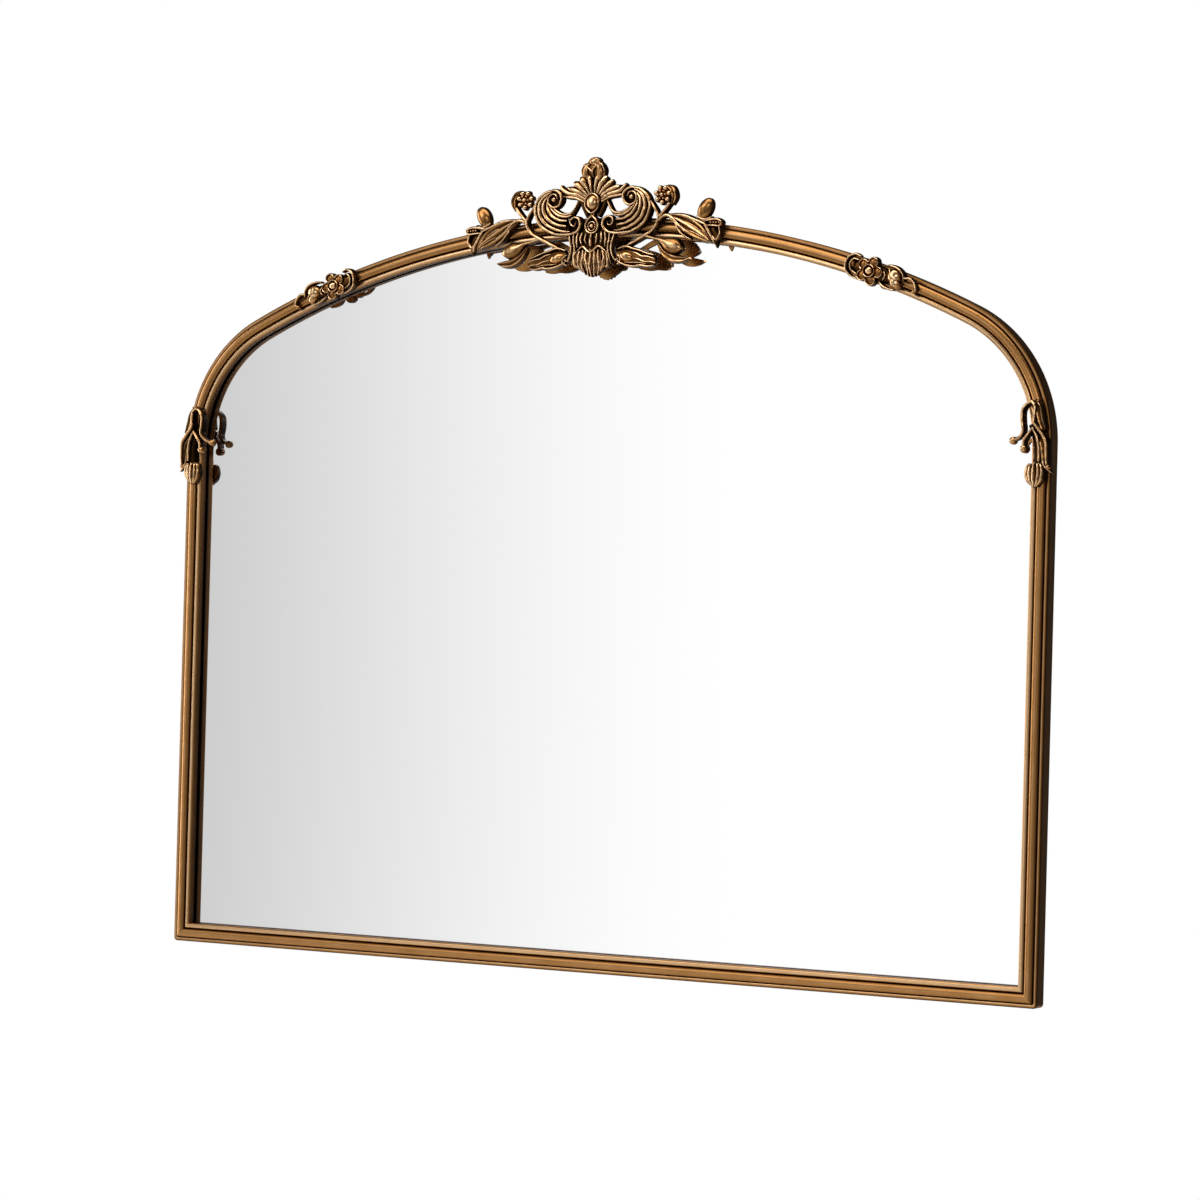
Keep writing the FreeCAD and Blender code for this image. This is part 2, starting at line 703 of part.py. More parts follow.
def flute(share):
    """A ridge that runs down the fluted leaf at a share of its half width."""
    stations = []
    for across, up, half, height in FLUTED_LEAF[1:-2]:
        slope = 1 - (1 - EDGE) * abs(share)
        stations.append((share * half, up, FLUTE_HALF_WIDTH, height * slope + FLUTE_RISE))
    return stations


FLUTE_HALF_WIDTH = 1.8
FLUTE_RISE = 0.12
CREST_SQUARES_WIDE = 306
CREST_SQUARES_TALL = 124
seat = value("%s - seat_gap" % FRONT)

crest_sizes = (
    value("crest_relief"),
    value("crest_width") / CREST_SQUARES_WIDE,
    value("crest_height") / CREST_SQUARES_TALL,
)
crest_middle = casting(
    [FLUTED_LEAF, STEM] + [flute(share) for share in FLUTES], [MEDALLION, PENDANT] + ROSEBUD, *crest_sizes
)
crest_right = casting(
    PALMETTE + STRUTS + C_SCROLL + SIDE_LEAVES + SPRAY, SCROLL_EYES + SPRAY_BUDS, *crest_sizes
)
crest_left = crest_right.mirror(Vector(0, 0, 0), Vector(1, 0, 0))
crest = shape_feature(
    "crest",
    crest_middle.multiFuse([crest_right, crest_left]).removeSplitter(),
    Placement(Vector(0, seat, value(TOP)), turned(0)),
)

ROSE_PETALS = 5
ROSE_REACH = 7.5
ROSE_STEMS = [
    [(-22, 0, 4, 0.45), (0, 0, 8, 0.5), (24, 0, 4, 0.45)],
    [(26, 0, 3.5, 0.5), (36, -2, 2.4, 0.5), (46, -3, 1.9, 0.45), (54, -5, 1.2, 0.4)],
]
ROSE_BOSSES = [(0, 0, 5, 5, 1, 0), (-24, 2, 6, 8.5, 0.75, 10), (26, 0, 7, 7, 0.8, 0)]
for petal in range(ROSE_PETALS):
    lean = 360 * petal / ROSE_PETALS
    slope = math.radians(lean)
    ROSE_BOSSES.append((ROSE_REACH * math.sin(slope), ROSE_REACH * math.cos(slope), 5.6, 5.8, 0.7, lean))

ROSE_SQUARES_WIDE = 79
rose_square = value("rose_width") / ROSE_SQUARES_WIDE
right_rose = shape_feature(
    "right_rose",
    casting(ROSE_STEMS, ROSE_BOSSES, value("rose_relief"), rose_square, rose_square),
    raised(on_crown(rose_turn, torus_inset), seat),
)
left_rose = mirrored("left_rose", right_rose)

SPRIG_LEAVES = [
    [(-4, 42, 2, 0.4), (-1, 33, 4.6, 0.5), (2, 22, 4.8, 0.5), (5, 12, 3.6, 0.47)],
    [(1, 9, 2.6, 0.42), (4.6, -2, 4.6, 0.5), (6.4, -13, 4.6, 0.5), (8.4, -21, 3.2, 0.47), (12.6, -27, 0.8, 0.35)],
    [(-9, 18, 2.4, 0.37), (-4, 8, 4, 0.38), (-1, -4, 4.2, 0.38), (-2.4, -23, 4.2, 0.38)],
]
SPRIG_STEMS = [
    [
        (-6, 40.4, 1.5, 0.63), (-12, 37.6, 1.8, 0.78), (-16, 31, 1.9, 0.88), (-16, 21, 1.9, 0.88),
        (-15, 13, 1.8, 0.8), (-18.6, 6.6, 1.8, 0.66), (-25, 3.6, 1.8, 0.5),
    ],
    [
        (-8, 40.6, 1.4, 0.63), (-3.6, 36, 1.8, 0.8), (-3.6, 20, 2, 0.95), (2.6, 12, 2, 0.95),
        (8.6, 3, 2, 0.92), (9.8, -20, 1.6, 0.74),
    ],
    [(-5, 15.4, 1.4, 0.78), (-14, 3, 1.9, 0.82), (-14.4, -4, 1.8, 0.78)],
    [(-5.4, 15.4, 1.4, 0.78), (-0.6, 6, 1.8, 0.76), (1.6, -17, 1.5, 0.66)],
    [(6.6, -20, 1.7, 0.58), (10.4, -25, 1.3, 0.52), (14.4, -28.4, 0.8, 0.4)],
    [(-2.6, -32, 2.6, 0.5), (-1.8, -41, 1.5, 0.4)],
]
SPRIG_BOSSES = [
    (-27, 3, 4, 4, 0.6, 0), (-14.5, -5, 4.4, 4.4, 0.86, 0), (10.4, -22.4, 2.8, 2.8, 0.7, 0), (-3.4, -28, 8.4, 8.4, 0.9, 0),
]
SPRIG_SQUARES_TALL = 84
sprig_square = value("sprig_height") / SPRIG_SQUARES_TALL
right_sprig = shape_feature(
    "right_sprig",
    casting(SPRIG_LEAVES + SPRIG_STEMS, SPRIG_BOSSES, value("sprig_relief"), sprig_square, sprig_square),
    Placement(Vector(value(HALF_WIDTH) - torus_inset, seat, spring), turned(0)),
)
left_sprig = mirrored("left_sprig", right_sprig)

NODES = [
    bottom_rail, left_stile, right_stile, left_arch, right_arch, joint_splines, left_brace, right_brace,
    mirror_glass, backing_board, setting_blocks, board_points,
    crest, left_rose, right_rose, left_sprig, right_sprig,
    left_strap, right_strap, left_ring, right_ring, wall_bumpers,
]

doc.recompute()
for item in doc.Objects:
    if "Invalid" in item.State or "Error" in item.State:
        raise RuntimeError("%s failed: %s" % (item.Label, item.State))
for node in NODES:
    if node.Shape.isNull() or not node.Shape.isValid():
        raise RuntimeError("%s has no valid shape" % node.Label)

os.makedirs("parts", exist_ok=True)
for node in NODES:
    node.Shape.exportStep("parts/%s.step" % node.Label)
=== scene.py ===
"""Arched wall mirror: reeded gilt moulding, carved ornament, silvered glass, back fittings and a studio."""
import math

import bmesh
import bpy
import numpy as np
from bpy.props import FloatProperty, FloatVectorProperty, PointerProperty
from mathutils import Matrix, Vector


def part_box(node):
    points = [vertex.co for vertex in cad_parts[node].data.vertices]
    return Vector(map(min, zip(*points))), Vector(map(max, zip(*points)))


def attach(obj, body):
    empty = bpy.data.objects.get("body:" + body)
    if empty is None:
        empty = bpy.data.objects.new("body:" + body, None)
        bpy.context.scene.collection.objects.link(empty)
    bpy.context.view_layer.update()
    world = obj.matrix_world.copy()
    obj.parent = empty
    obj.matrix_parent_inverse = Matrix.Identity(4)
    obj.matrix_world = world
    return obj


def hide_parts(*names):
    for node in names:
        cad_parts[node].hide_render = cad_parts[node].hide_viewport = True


bl_info = {
    "name": "Arched wall mirror",
    "version": (1, 0, 0),
    "blender": (4, 5, 0),
    "location": "3D View > Sidebar > Mirror",
    "description": "Dresses the arched wall mirror: moulding, carved ornament, glass, back fittings and studio",
    "category": "Object",
}

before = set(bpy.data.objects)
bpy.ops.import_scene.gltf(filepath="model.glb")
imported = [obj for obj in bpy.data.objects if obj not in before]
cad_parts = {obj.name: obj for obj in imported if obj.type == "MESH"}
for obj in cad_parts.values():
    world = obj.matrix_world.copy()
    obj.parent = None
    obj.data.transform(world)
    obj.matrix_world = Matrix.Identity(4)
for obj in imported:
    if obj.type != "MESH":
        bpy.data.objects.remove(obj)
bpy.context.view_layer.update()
MM = 0.001
BODY = "frame"

STILE_LOW, STILE_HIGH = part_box("right_stile")
GLASS_LOW, GLASS_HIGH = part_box("mirror_glass")
STRAP_LOW, STRAP_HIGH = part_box("right_hanger_strap")
BRACE_LOW, BRACE_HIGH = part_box("right_corner_brace")

# Places on the part in millimetres: across to the right, y to the back, up from the frame's foot.
HALF_WIDTH = STILE_HIGH.x / MM
SPRING = STILE_HIGH.z / MM
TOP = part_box("right_arch")[1].z / MM
MOULDING_WIDTH = HALF_WIDTH - STILE_LOW.x / MM
BACK = STILE_HIGH.y / MM
FRONT = STILE_LOW.y / MM
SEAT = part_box("crest")[1].y / MM

# The moulding: how far its lines stand before its back, and how far its sunk faces are rubbed.
REED_DEPTH = 15
GROOVE_DEPTH = 14
BEAD_DEPTH = 15.4
GROOVE_RUB = 0.12
FLANK_RUB = 0.2
CORNER_STEPS = [4 * step for step in range(1, 6)]

# The castings: where they sit on the moulding, and the limits that keep their forms whole.
CASTING_INSET = 9.8
ROSE_ACROSS = 315.5
# Painted light: the castings' flat backs, seen only in the glass, get a pale gilt value that stands in for the
# light they lack.
BACK_PAINTED_LIGHT = 0.72
LEAST_HALF_WIDTH = 0.12
LEAST_HEIGHT = 0.4
LEAST_SURFACE = 0.25
BASE_STEP = 0.02
BASE_LEVELS = 23
WANDER = 0.12
DOME_SIDES = 20

# Screws: in from the brace's outer edge and up from its foot, and up from the strap's foot.
BRACE_SCREWS = ((54, 5), (24, 5), (5, 24), (5, 54))
STRAP_SCREWS = (8, 24)
STRAP_PLATE = 1.2
SCREW_HEIGHT = 1.7

# The room that reflections meet, as fades that are multiplied: (axis, from, to, strength at from, strength at to).
ROOM_FADES = (
    ("X", -0.66, -0.46, 0.477, 1.04),  # the front wall is grey on its left
    ("X", -0.36, -0.2, 1.0, 0.3),  # and ends on its right
    ("X", -0.7, -0.92, 1.0, 0.8),  # and at its far left
    ("Y", 0.1, -0.6, 0.3, 1.0),  # the wall behind the mirror is dim
    ("Z", 0.13, 0.27, 1.0, 0.32),  # so is the ceiling
    ("Z", -0.13, -0.27, 1.0, 0.32),  # and the floor
)
WARM_WHITE = (1.0, 0.985, 0.96)
SOFT_WHITE = (1.0, 0.99, 0.97)
REFRACTION = 1.5

# The camera that took the photograph: its place in metres, and its turns about z, x and y in radians.
CAMERA_PLACE = (1.9155, -3.2810, 0.3456)
CAMERA_TURN, CAMERA_TILT, CAMERA_ROLL = 0.5256, 0.0091, -0.0272


class MouldingSettings(bpy.types.PropertyGroup):
    """Sizes of the reeded moulding."""

    shoulder_radius: FloatProperty(
        name="Shoulder radius", description="Outer radius of the arch's shoulders",
        default=150 * MM, unit="LENGTH", subtype="DISTANCE",
    )
    corner_round: FloatProperty(
        name="Corner round", description="Rounding of the two bottom corners",
        default=4 * MM, unit="LENGTH", subtype="DISTANCE",
    )
    outer_reed: FloatProperty(
        name="Outer reed", description="Width of the reed along the outer edge",
        default=4.2 * MM, unit="LENGTH", subtype="DISTANCE",
    )
    groove: FloatProperty(
        name="Groove", description="Width of the groove beside the outer reed",
        default=0.6 * MM, unit="LENGTH", subtype="DISTANCE",
    )
    wide_reed: FloatProperty(
        name="Wide reed", description="Width of the half-round in the middle of the moulding",
        default=8.6 * MM, unit="LENGTH", subtype="DISTANCE",
    )
    sight_bead: FloatProperty(
        name="Sight bead", description="Width of the bead beside the glass",
        default=5.4 * MM, unit="LENGTH", subtype="DISTANCE",
    )
    rebate_width: FloatProperty(
        name="Rebate width", description="Width of the rebate that holds the glass",
        default=6 * MM, unit="LENGTH", subtype="DISTANCE",
    )


class GildingSettings(bpy.types.PropertyGroup):
    """Colours of the antique gilding."""

    umber: FloatVectorProperty(
        name="Umber wash", description="Dark wash left in the hollows",
        subtype="COLOR", default=(0.014, 0.0058, 0.0015), min=0, max=1,
    )
    bronze: FloatVectorProperty(
        name="Bronze", description="Half-worn bronze on the flanks",
        subtype="COLOR", default=(0.14, 0.060, 0.016), min=0, max=1,
    )
    gold: FloatVectorProperty(
        name="Gold", description="Gold leaf on the rounded tops",
        subtype="COLOR", default=(0.44, 0.21, 0.066), min=0, max=1,
    )
    rubbed: FloatVectorProperty(
        name="Rubbed gold", description="Pale gold where ridges are rubbed",
        subtype="COLOR", default=(0.88, 0.60, 0.34), min=0, max=1,
    )


class StudioSettings(bpy.types.PropertyGroup):
    """Camera and light."""

    lens: FloatProperty(
        name="Lens", description="Focal length on a 36 mm sensor", default=111.56, unit="CAMERA",
    )
    key_power: FloatProperty(
        name="Key light", description="Power of the large soft light", default=24, unit="POWER",
    )
    front_power: FloatProperty(
        name="Front light", description="Power of the panel above the camera", default=16, unit="POWER",
    )
    side_power: FloatProperty(
        name="Side light", description="Power of the tall panel at the left", default=30, unit="POWER",
    )
    top_power: FloatProperty(
        name="Top light", description="Power of the panel overhead", default=34, unit="POWER",
    )
    room_light: FloatProperty(
        name="Room light", description="Strength of the light all round", default=0.42,
    )
    floor_drop: FloatProperty(
        name="Floor below", description="How far the floor lies below the hung mirror",
        default=0.9, unit="LENGTH", subtype="DISTANCE",
    )


def ring_faces(rows, size):
    """Faces that join rings of points in turn, and fill the first and the last ring."""
    faces = []
    for row in range(rows - 1):
        below, above = row * size, (row + 1) * size
        for spot in range(size):
            after = (spot + 1) % size
            faces.append((below + spot, below + after, above + after, above + spot))
    faces.append(tuple(range(size)))
    faces.append(tuple(range((rows - 1) * size, rows * size)))
    return faces


def on_side(side, rows):
    """Rows drawn for the right half, put on the given side."""
    return [(side * across, *rest) for across, *rest in rows]


class Carving:
    """The forms of one casting: points in millimetres (across, height, up), faces and how far each is rubbed, with
    painted light on the flat backs.
    """

    def __init__(self):
        self.points = []
        self.faces = []
        self.rub_and_painted_light = []
        self.count = 0

    def add(self, points, faces, rub_and_painted_light):
        """Adds one form, with its flat back a hair off the backs of the forms before it."""
        flat = points[:, 1] == 0
        points[flat, 1] = BASE_STEP * (len(self.points) % BASE_LEVELS)
        self.points.append(points)
        self.faces += [[corner + self.count for corner in face] for face in faces]
        self.rub_and_painted_light.append(rub_and_painted_light)
        self.count += len(points)

    def rings(self, grid, rub_and_painted_light):
        """A closed form through rings of points, with its first and last ring filled."""
        self.add(grid.reshape(-1, 3), ring_faces(*grid.shape[:2]), rub_and_painted_light.reshape(-1))

    def strand(self, rows, ribs=1, groove=1.1, foot=0.35, shine=1.0, step=1.3):
        """A stem, leaf or band along a smooth line of rows (across, up, half width, height)."""
        line = smooth(rows, step)
        half = np.maximum(line[:, 2:3], LEAST_HALF_WIDTH)
        height = np.maximum(line[:, 3:4], LEAST_HEIGHT)
        ahead = np.gradient(line[:, :2], axis=0)
        ahead /= np.maximum(np.linalg.norm(ahead, axis=1, keepdims=True), 1e-9)
        side = np.stack([-ahead[:, 1], ahead[:, 0]], axis=1)
        turn = np.linspace(-1, 1, max(9, 6 * ribs + 1))
        crown = np.sqrt(np.clip(1 - turn ** 2, 0, 1))
        if ribs > 1:
            wave = 0.5 - 0.5 * np.cos(math.pi * ribs * (turn + 1))
            depth = np.minimum(groove, 0.9 * half / ribs + 0.15)
            carved = height * (foot + (1 - foot) * np.sqrt(crown)) - depth * (1 - wave)
            bright = (0.25 + 0.75 * wave ** 2) * (0.55 + 0.45 * crown)
        else:
            carved = height * (foot + (1 - foot) * crown)
            bright = 0.3 * np.sqrt(crown) + 0.7 * crown ** 4
        reach = np.concatenate([[-0.94, -1], turn, [1, 0.94]])
        grid = np.zeros((len(line), len(reach), 3))
        rub_and_painted_light = np.zeros((len(line), len(reach)))
        grid[:, :, 0] = line[:, 0:1] + side[:, 0:1] * half * reach
        grid[:, :, 2] = line[:, 1:2] + side[:, 1:2] * half * reach
        grid[:, 2:-2, 1] = np.maximum(carved, LEAST_SURFACE)
        rub_and_painted_light[:, 2:-2] = bright * shine
        # painted light: the flat back is made pale to stand in for the light it lacks
        rub_and_painted_light[:, [0, -1]] = BACK_PAINTED_LIGHT
        self.rings(grid, rub_and_painted_light)

    def ring(self, middle, wide, tall, half, height, point=0.0):
        """A closed moulded ring, drawn out to a point below where one is given."""
        rows = []
        for angle in np.linspace(0, 2 * math.pi, 49):
            drop = point * max(0.0, -math.sin(angle)) ** 6
            across, up = wide * math.cos(angle), tall * math.sin(angle)
            rows.append((middle[0] + across, middle[1] + up - drop, half, height))
        self.strand(rows, step=2.0)

    def dome(self, middle, wide, tall, height, lean=0.0, foot=0.35, shine=0.8):
        """A bud, petal or bead with a rounded top."""
        shares = np.sin(np.linspace(0, math.pi / 2, 9))[::-1]
        angles = np.linspace(0, 2 * math.pi, DOME_SIDES, endpoint=False)
        slope = math.radians(lean)
        grid = np.zeros((len(shares), DOME_SIDES, 3))
        rub_and_painted_light = np.zeros((len(shares), DOME_SIDES))
        for row, share in enumerate(shares):
            share = max(share, 0.02)
            across = wide * share * np.cos(angles)
            up = tall * share * np.sin(angles)
            crown = math.sqrt(max(0.0, 1 - share * share))
            grid[row, :, 0] = middle[0] + across * math.cos(slope) + up * math.sin(slope)
            grid[row, :, 2] = middle[1] - across * math.sin(slope) + up * math.cos(slope)
            grid[row, :, 1] = max(height * (foot + (1 - foot) * crown), LEAST_SURFACE)
            rub_and_painted_light[row] = shine * (0.45 + 0.55 * crown)
        base = grid[:1].copy()
        base[:, :, 1] = 0
        inner = base.copy()
        inner[:, :, [0, 2]] += 0.06 * (np.array(middle) - inner[:, :, [0, 2]])
        # painted light: the innermost ring of the flat back is made pale, as on the strands
        self.rings(
            np.concatenate([inner, base, grid]),
            np.concatenate([np.full((1, DOME_SIDES), BACK_PAINTED_LIGHT), np.zeros((1, DOME_SIDES)), rub_and_painted_light]),
        )

    def piece(self, name, place, flip=False):
        """The casting as a mesh object; place turns its drawing (across, up) into millimetres of the part."""
        points = np.concatenate(self.points)
        across, up = points[:, 0].copy(), points[:, 2].copy()
        wander = WANDER * (np.sin(across * 0.55 + up * 0.3) + np.sin(up * 0.7 - across * 0.2))
        lifted = points[:, 1] > 0.3
        points[lifted, 1] += wander[lifted]
        spots = np.empty_like(points)
        spots[:, 0], spots[:, 2] = place(across, up)
        spots[:, 1] = SEAT - points[:, 1]
        if flip:
            spots[:, 0] = -spots[:, 0]
        return mesh_piece(name, spots * MM, self.faces, np.concatenate(self.rub_and_painted_light))


def smooth(rows, step):
    """Rows of a drawn line joined by one smooth curve, at steps of about that many millimetres."""
    rows = np.array(rows, float)
    drawn = np.vstack([2 * rows[0] - rows[1], rows, 2 * rows[-1] - rows[-2]])
    runs = []
    for before, near, far, beyond in zip(drawn, drawn[1:], drawn[2:], drawn[3:]):
        count = max(2, math.ceil(np.linalg.norm((far - near)[:2]) / step))
        share = (np.arange(count) / count)[:, None]
        runs.append(0.5 * (
            2 * near + (far - before) * share + (2 * before - 5 * near + 4 * far - beyond) * share ** 2
            + (3 * near - before - 3 * far + beyond) * share ** 3
        ))
    runs.append(rows[-1:])
    return np.vstack(runs)


def mesh_piece(name, points, faces, rub_and_painted_light, sharp=50):
    """A mesh object of the part with its rub values, painted light and shade among them, kept on its points."""
    mesh = bpy.data.meshes.new(name)
    mesh.from_pydata(points.tolist(), [], faces)
    layer = mesh.attributes.new("rub_and_painted_light", "FLOAT", "POINT")
    layer.data.foreach_set("value", rub_and_painted_light.astype(np.float32))
    shell = bmesh.new()
    shell.from_mesh(mesh)
    bmesh.ops.remove_doubles(shell, verts=shell.verts, dist=2e-6)
    bmesh.ops.recalc_face_normals(shell, faces=shell.faces)
    shell.to_mesh(mesh)
    shell.free()
    mesh.shade_smooth()
    mesh.set_sharp_from_angle(angle=math.radians(sharp))
    if not mesh.polygons:
        raise RuntimeError("%s has no faces" % name)
    piece = bpy.data.objects.new(name, mesh)
    bpy.context.collection.objects.link(piece)
    return piece


def settle(piece, material, slot, *nodes):
    """Gives a finished piece its material, its body and the nodes that it stands for."""
    piece.data.materials.clear()
    piece.data.materials.append(material)
    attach(piece, BODY)
    if nodes:
        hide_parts(*nodes)
    return piece


def dress(material, *names):
    """Gives nodes that keep their shape a material."""
    for name in names:
        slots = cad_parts[name].data.materials
        slots.clear()
        slots.append(material)


def empty_material(name):
    material = bpy.data.materials.new(name)
    material.use_nodes = True
    tree = material.node_tree
    return material, tree.nodes, tree.links, tree.nodes["Principled BSDF"]


def grain(nodes, links, scale, detail=4.0, rough=0.55, stretch=None):
    """A noise over the piece, in steps of metres, stretched along an axis where one is given."""
    place = nodes.new("ShaderNodeTexCoord")
    noise = nodes.new("ShaderNodeTexNoise")
    noise.inputs["Scale"].default_value = scale
    noise.inputs["Detail"].default_value = detail
    noise.inputs["Roughness"].default_value = rough
    if stretch:
        scaled = nodes.new("ShaderNodeMapping")
        scaled.inputs["Scale"].default_value = stretch
        links.new(place.outputs["Object"], scaled.inputs["Vector"])
        links.new(scaled.outputs["Vector"], noise.inputs["Vector"])
    else:
        links.new(place.outputs["Object"], noise.inputs["Vector"])
    return noise.outputs["Fac"]


def stepped(nodes, links, source, colours):
    """A colour ramp with the given (position, colour) stops."""
    ramp = nodes.new("ShaderNodeValToRGB")
    stops = ramp.color_ramp.elements
    while len(stops) < len(colours):
        stops.new(0.5)
    for stop, (position, colour) in zip(stops, colours):
        stop.position = position
        stop.color = (*colour, 1)
    links.new(source, ramp.inputs["Fac"])
    return ramp.outputs["Color"]


def ranged(nodes, links, source, low, high):
    spread = nodes.new("ShaderNodeMapRange")
    spread.inputs["To Min"].default_value = low
    spread.inputs["To Max"].default_value = high
    links.new(source, spread.inputs["Value"])
    return spread.outputs["Result"]


def relief(nodes, links, source, shader, strength, distance):
    bump = nodes.new("ShaderNodeBump")
    bump.inputs["Strength"].default_value = strength
    bump.inputs["Distance"].default_value = distance
    links.new(source, bump.inputs["Height"])
    links.new(bump.outputs["Normal"], shader.inputs["Normal"])


def sum_of(nodes, links, first, second, weight):
    """first + (second - 0.5) * weight"""
    shifted = nodes.new("ShaderNodeMath")
    shifted.operation = "MULTIPLY_ADD"
    shifted.inputs[1].default_value = weight
    shifted.inputs[2].default_value = -0.5 * weight
    links.new(second, shifted.inputs[0])
    added = nodes.new("ShaderNodeMath")
    added.operation = "ADD"
    links.new(first, added.inputs[0])
    links.new(shifted.outputs[0], added.inputs[1])
    return added.outputs[0]


def antique_gilding(name, stops, blotch_scale, blotch, gloss, pitting):
    """Gold over umber: dark where the carving is hollow, pale where its ridges are rubbed; the same values also
    carry painted light on the castings' backs and painted shade on the moulding's lip and outer reed.
    """
    material, nodes, links, shader = empty_material(name)
    rub_and_painted_light = nodes.new("ShaderNodeAttribute")
    rub_and_painted_light.attribute_name = "rub_and_painted_light"
    worn = sum_of(nodes, links, rub_and_painted_light.outputs["Fac"], grain(nodes, links, blotch_scale), blotch)
    worn = sum_of(nodes, links, worn, grain(nodes, links, 1400.0, 2.0), 0.05)
    links.new(stepped(nodes, links, worn, stops), shader.inputs["Base Color"])
    links.new(ranged(nodes, links, worn, gloss + 0.2, gloss), shader.inputs["Roughness"])
    shader.inputs["Metallic"].default_value = 1.0
    relief(nodes, links, grain(nodes, links, 700.0, 5.0), shader, pitting, 0.0004)
    return material


def casting_gilding():
    look = bpy.context.scene.mirror_gilding
    name = "antique_gilt_casting"
    if name in bpy.data.materials:
        return bpy.data.materials[name]
    stops = [(0.06, look.umber), (0.4, look.bronze), (0.74, look.gold), (0.96, look.rubbed)]
    return antique_gilding(name, stops, 120.0, 0.16, 0.2, 0.05)


def moulding_gilding():
    look = bpy.context.scene.mirror_gilding
    stops = [(0.05, look.umber), (0.3, look.bronze), (0.7, look.gold), (1.0, look.rubbed)]
    return antique_gilding("antique_gilt_moulding", stops, 40.0, 0.16, 0.26, 0.2)


def moulding_section(sizes):
    """(inset from the outer edge, y, rub with painted shade) once round the moulding, from its outer back edge."""
    reed, groove = sizes.outer_reed / MM, sizes.groove / MM
    wide, bead = sizes.wide_reed / MM, sizes.sight_bead / MM
    rebate = MOULDING_WIDTH - sizes.rebate_width / MM
    reed_base, floor, bead_base = BACK - REED_DEPTH, BACK - GROOVE_DEPTH, BACK - BEAD_DEPTH
    lip = GLASS_LOW.y / MM - 0.02
    wide_base = FRONT + wide / 3
    wide_start, wide_end = reed + groove, reed + groove + wide
    bead_start = MOULDING_WIDTH - bead

    def bulge(start, width, base, count, low, high):
        """A half-round a third as high as it is wide, rubbed from low at its feet to high on top."""
        lines = []
        for step in range(1, count):
            angle = math.pi * step / count
            share = math.sin(angle)
            inset = start + width * (1 - math.cos(angle)) / 2
            lines.append((inset, base - width / 3 * share, low + (high - low) * share ** 2))
        return lines

    # Painted shade: the outer reed's gilt is dark on its outward half and rises to pale only towards its inner
    # side.
    outer_reed = []
    for step in range(1, 14):
        angle = math.pi * step / 14
        inward, share = (1 - math.cos(angle)) / 2, math.sin(angle)
        outer_reed.append((reed * inward, reed_base - reed / 3 * share, 0.14 + 1.2 * inward * share ** 2))
    return np.array([
        (0.0, BACK, 0.36),
        (0.0, reed_base + 9, 0.42),
        (0.0, reed_base + 3, 0.42),
        (0.0, reed_base, 0.3),
        *outer_reed,
        (reed, reed_base + 0.2, FLANK_RUB),
        (reed + groove / 2, floor, GROOVE_RUB),
        (wide_start, wide_base + 0.4, FLANK_RUB),
        *bulge(wide_start, wide, wide_base, 28, 0.4, 0.74),
        (wide_end, wide_base + 0.4, FLANK_RUB),
        ((wide_end + bead_start) / 2, floor, GROOVE_RUB),
        (bead_start, bead_base + 0.3, FLANK_RUB),
        *bulge(bead_start, bead, bead_base, 16, 0.4, 0.96),
        # Painted shade: the inner lip darkens from the bead down to the glass, and the rebate floor is darkest.
        (MOULDING_WIDTH, bead_base, 0.42),
        (MOULDING_WIDTH, bead_base + 1.2, 0.3),
        (MOULDING_WIDTH, (bead_base + lip) / 2, 0.24),
        (MOULDING_WIDTH, lip, 0.1),
        (rebate, lip, 0.05),
        (rebate, BACK, FLANK_RUB),
    ])


def swept(name, section, spots):
    """A length of moulding; spots(inset) gives the points (x, z) that one line of the section runs through."""
    lines = np.array([spots(inset) for inset in section[:, 0]]).transpose(1, 0, 2)
    grid = np.zeros((*lines.shape[:2], 3))
    grid[:, :, 0] = lines[:, :, 0]
    grid[:, :, 1] = section[:, 1]
    grid[:, :, 2] = lines[:, :, 1]
    body = Carving()
    body.rings(grid, np.tile(section[:, 2], (len(grid), 1)))
    return mesh_piece(name, np.concatenate(body.points) * MM, body.faces, np.concatenate(body.rub_and_painted_light), 40)


def corner_points(inset, round_off, first, last):
    """Points of the rounded bottom right corner between two angles."""
    points = []
    for angle in np.radians(np.linspace(first, last, 5)):
        reach = max(round_off - inset, 0.0)
        middle = HALF_WIDTH - max(round_off, inset), max(round_off, inset)
        points.append((middle[0] + reach * math.cos(angle), middle[1] + reach * math.sin(angle)))
    return points


def stile_line(inset, round_off):
    rises = [round_off + step for step in CORNER_STEPS] + list(np.linspace(60, SPRING, 13))
    low = max(round_off, inset)
    return corner_points(inset, round_off, -45, 0) + [(HALF_WIDTH - inset, max(rise, low)) for rise in rises]


def rail_line(inset, round_off):
    limit = HALF_WIDTH - max(round_off, inset)
    right = corner_points(inset, round_off, -90, -45)
    runs = [HALF_WIDTH - round_off - step for step in CORNER_STEPS]
    runs = [-run for run in runs] + list(np.linspace(-440, 440, 17)) + runs[::-1]
    middle = [(max(-limit, min(limit, run)), inset) for run in runs]
    return [(-across, up) for across, up in right[::-1]] + middle + right


def crown_circle(shoulder):
    """How far out the shoulders' middles lie, and the radius and the middle's height of the arc between them."""
    side, rise = HALF_WIDTH - shoulder, TOP - SPRING
    crown = (side ** 2 + rise ** 2 - shoulder ** 2) / (2 * (rise - shoulder))
    return side, crown, TOP - crown


def arch_line(inset, shoulder):
    """One half of the arch, from its spring on the right to the crown joint."""
    side, crown, middle = crown_circle(shoulder)
    meet = math.atan2(SPRING - middle, side)
    near, far = shoulder - inset, crown - inset
    points = [
        (side + near * math.cos(angle), SPRING + near * math.sin(angle)) for angle in np.linspace(0, meet, 34)
    ]
    for angle in np.linspace(meet, math.pi / 2, 40)[1:]:
        points.append((far * math.cos(angle), middle + far * math.sin(angle)))
    return points


def flipped(points):
    return [(-across, up) for across, up in points]


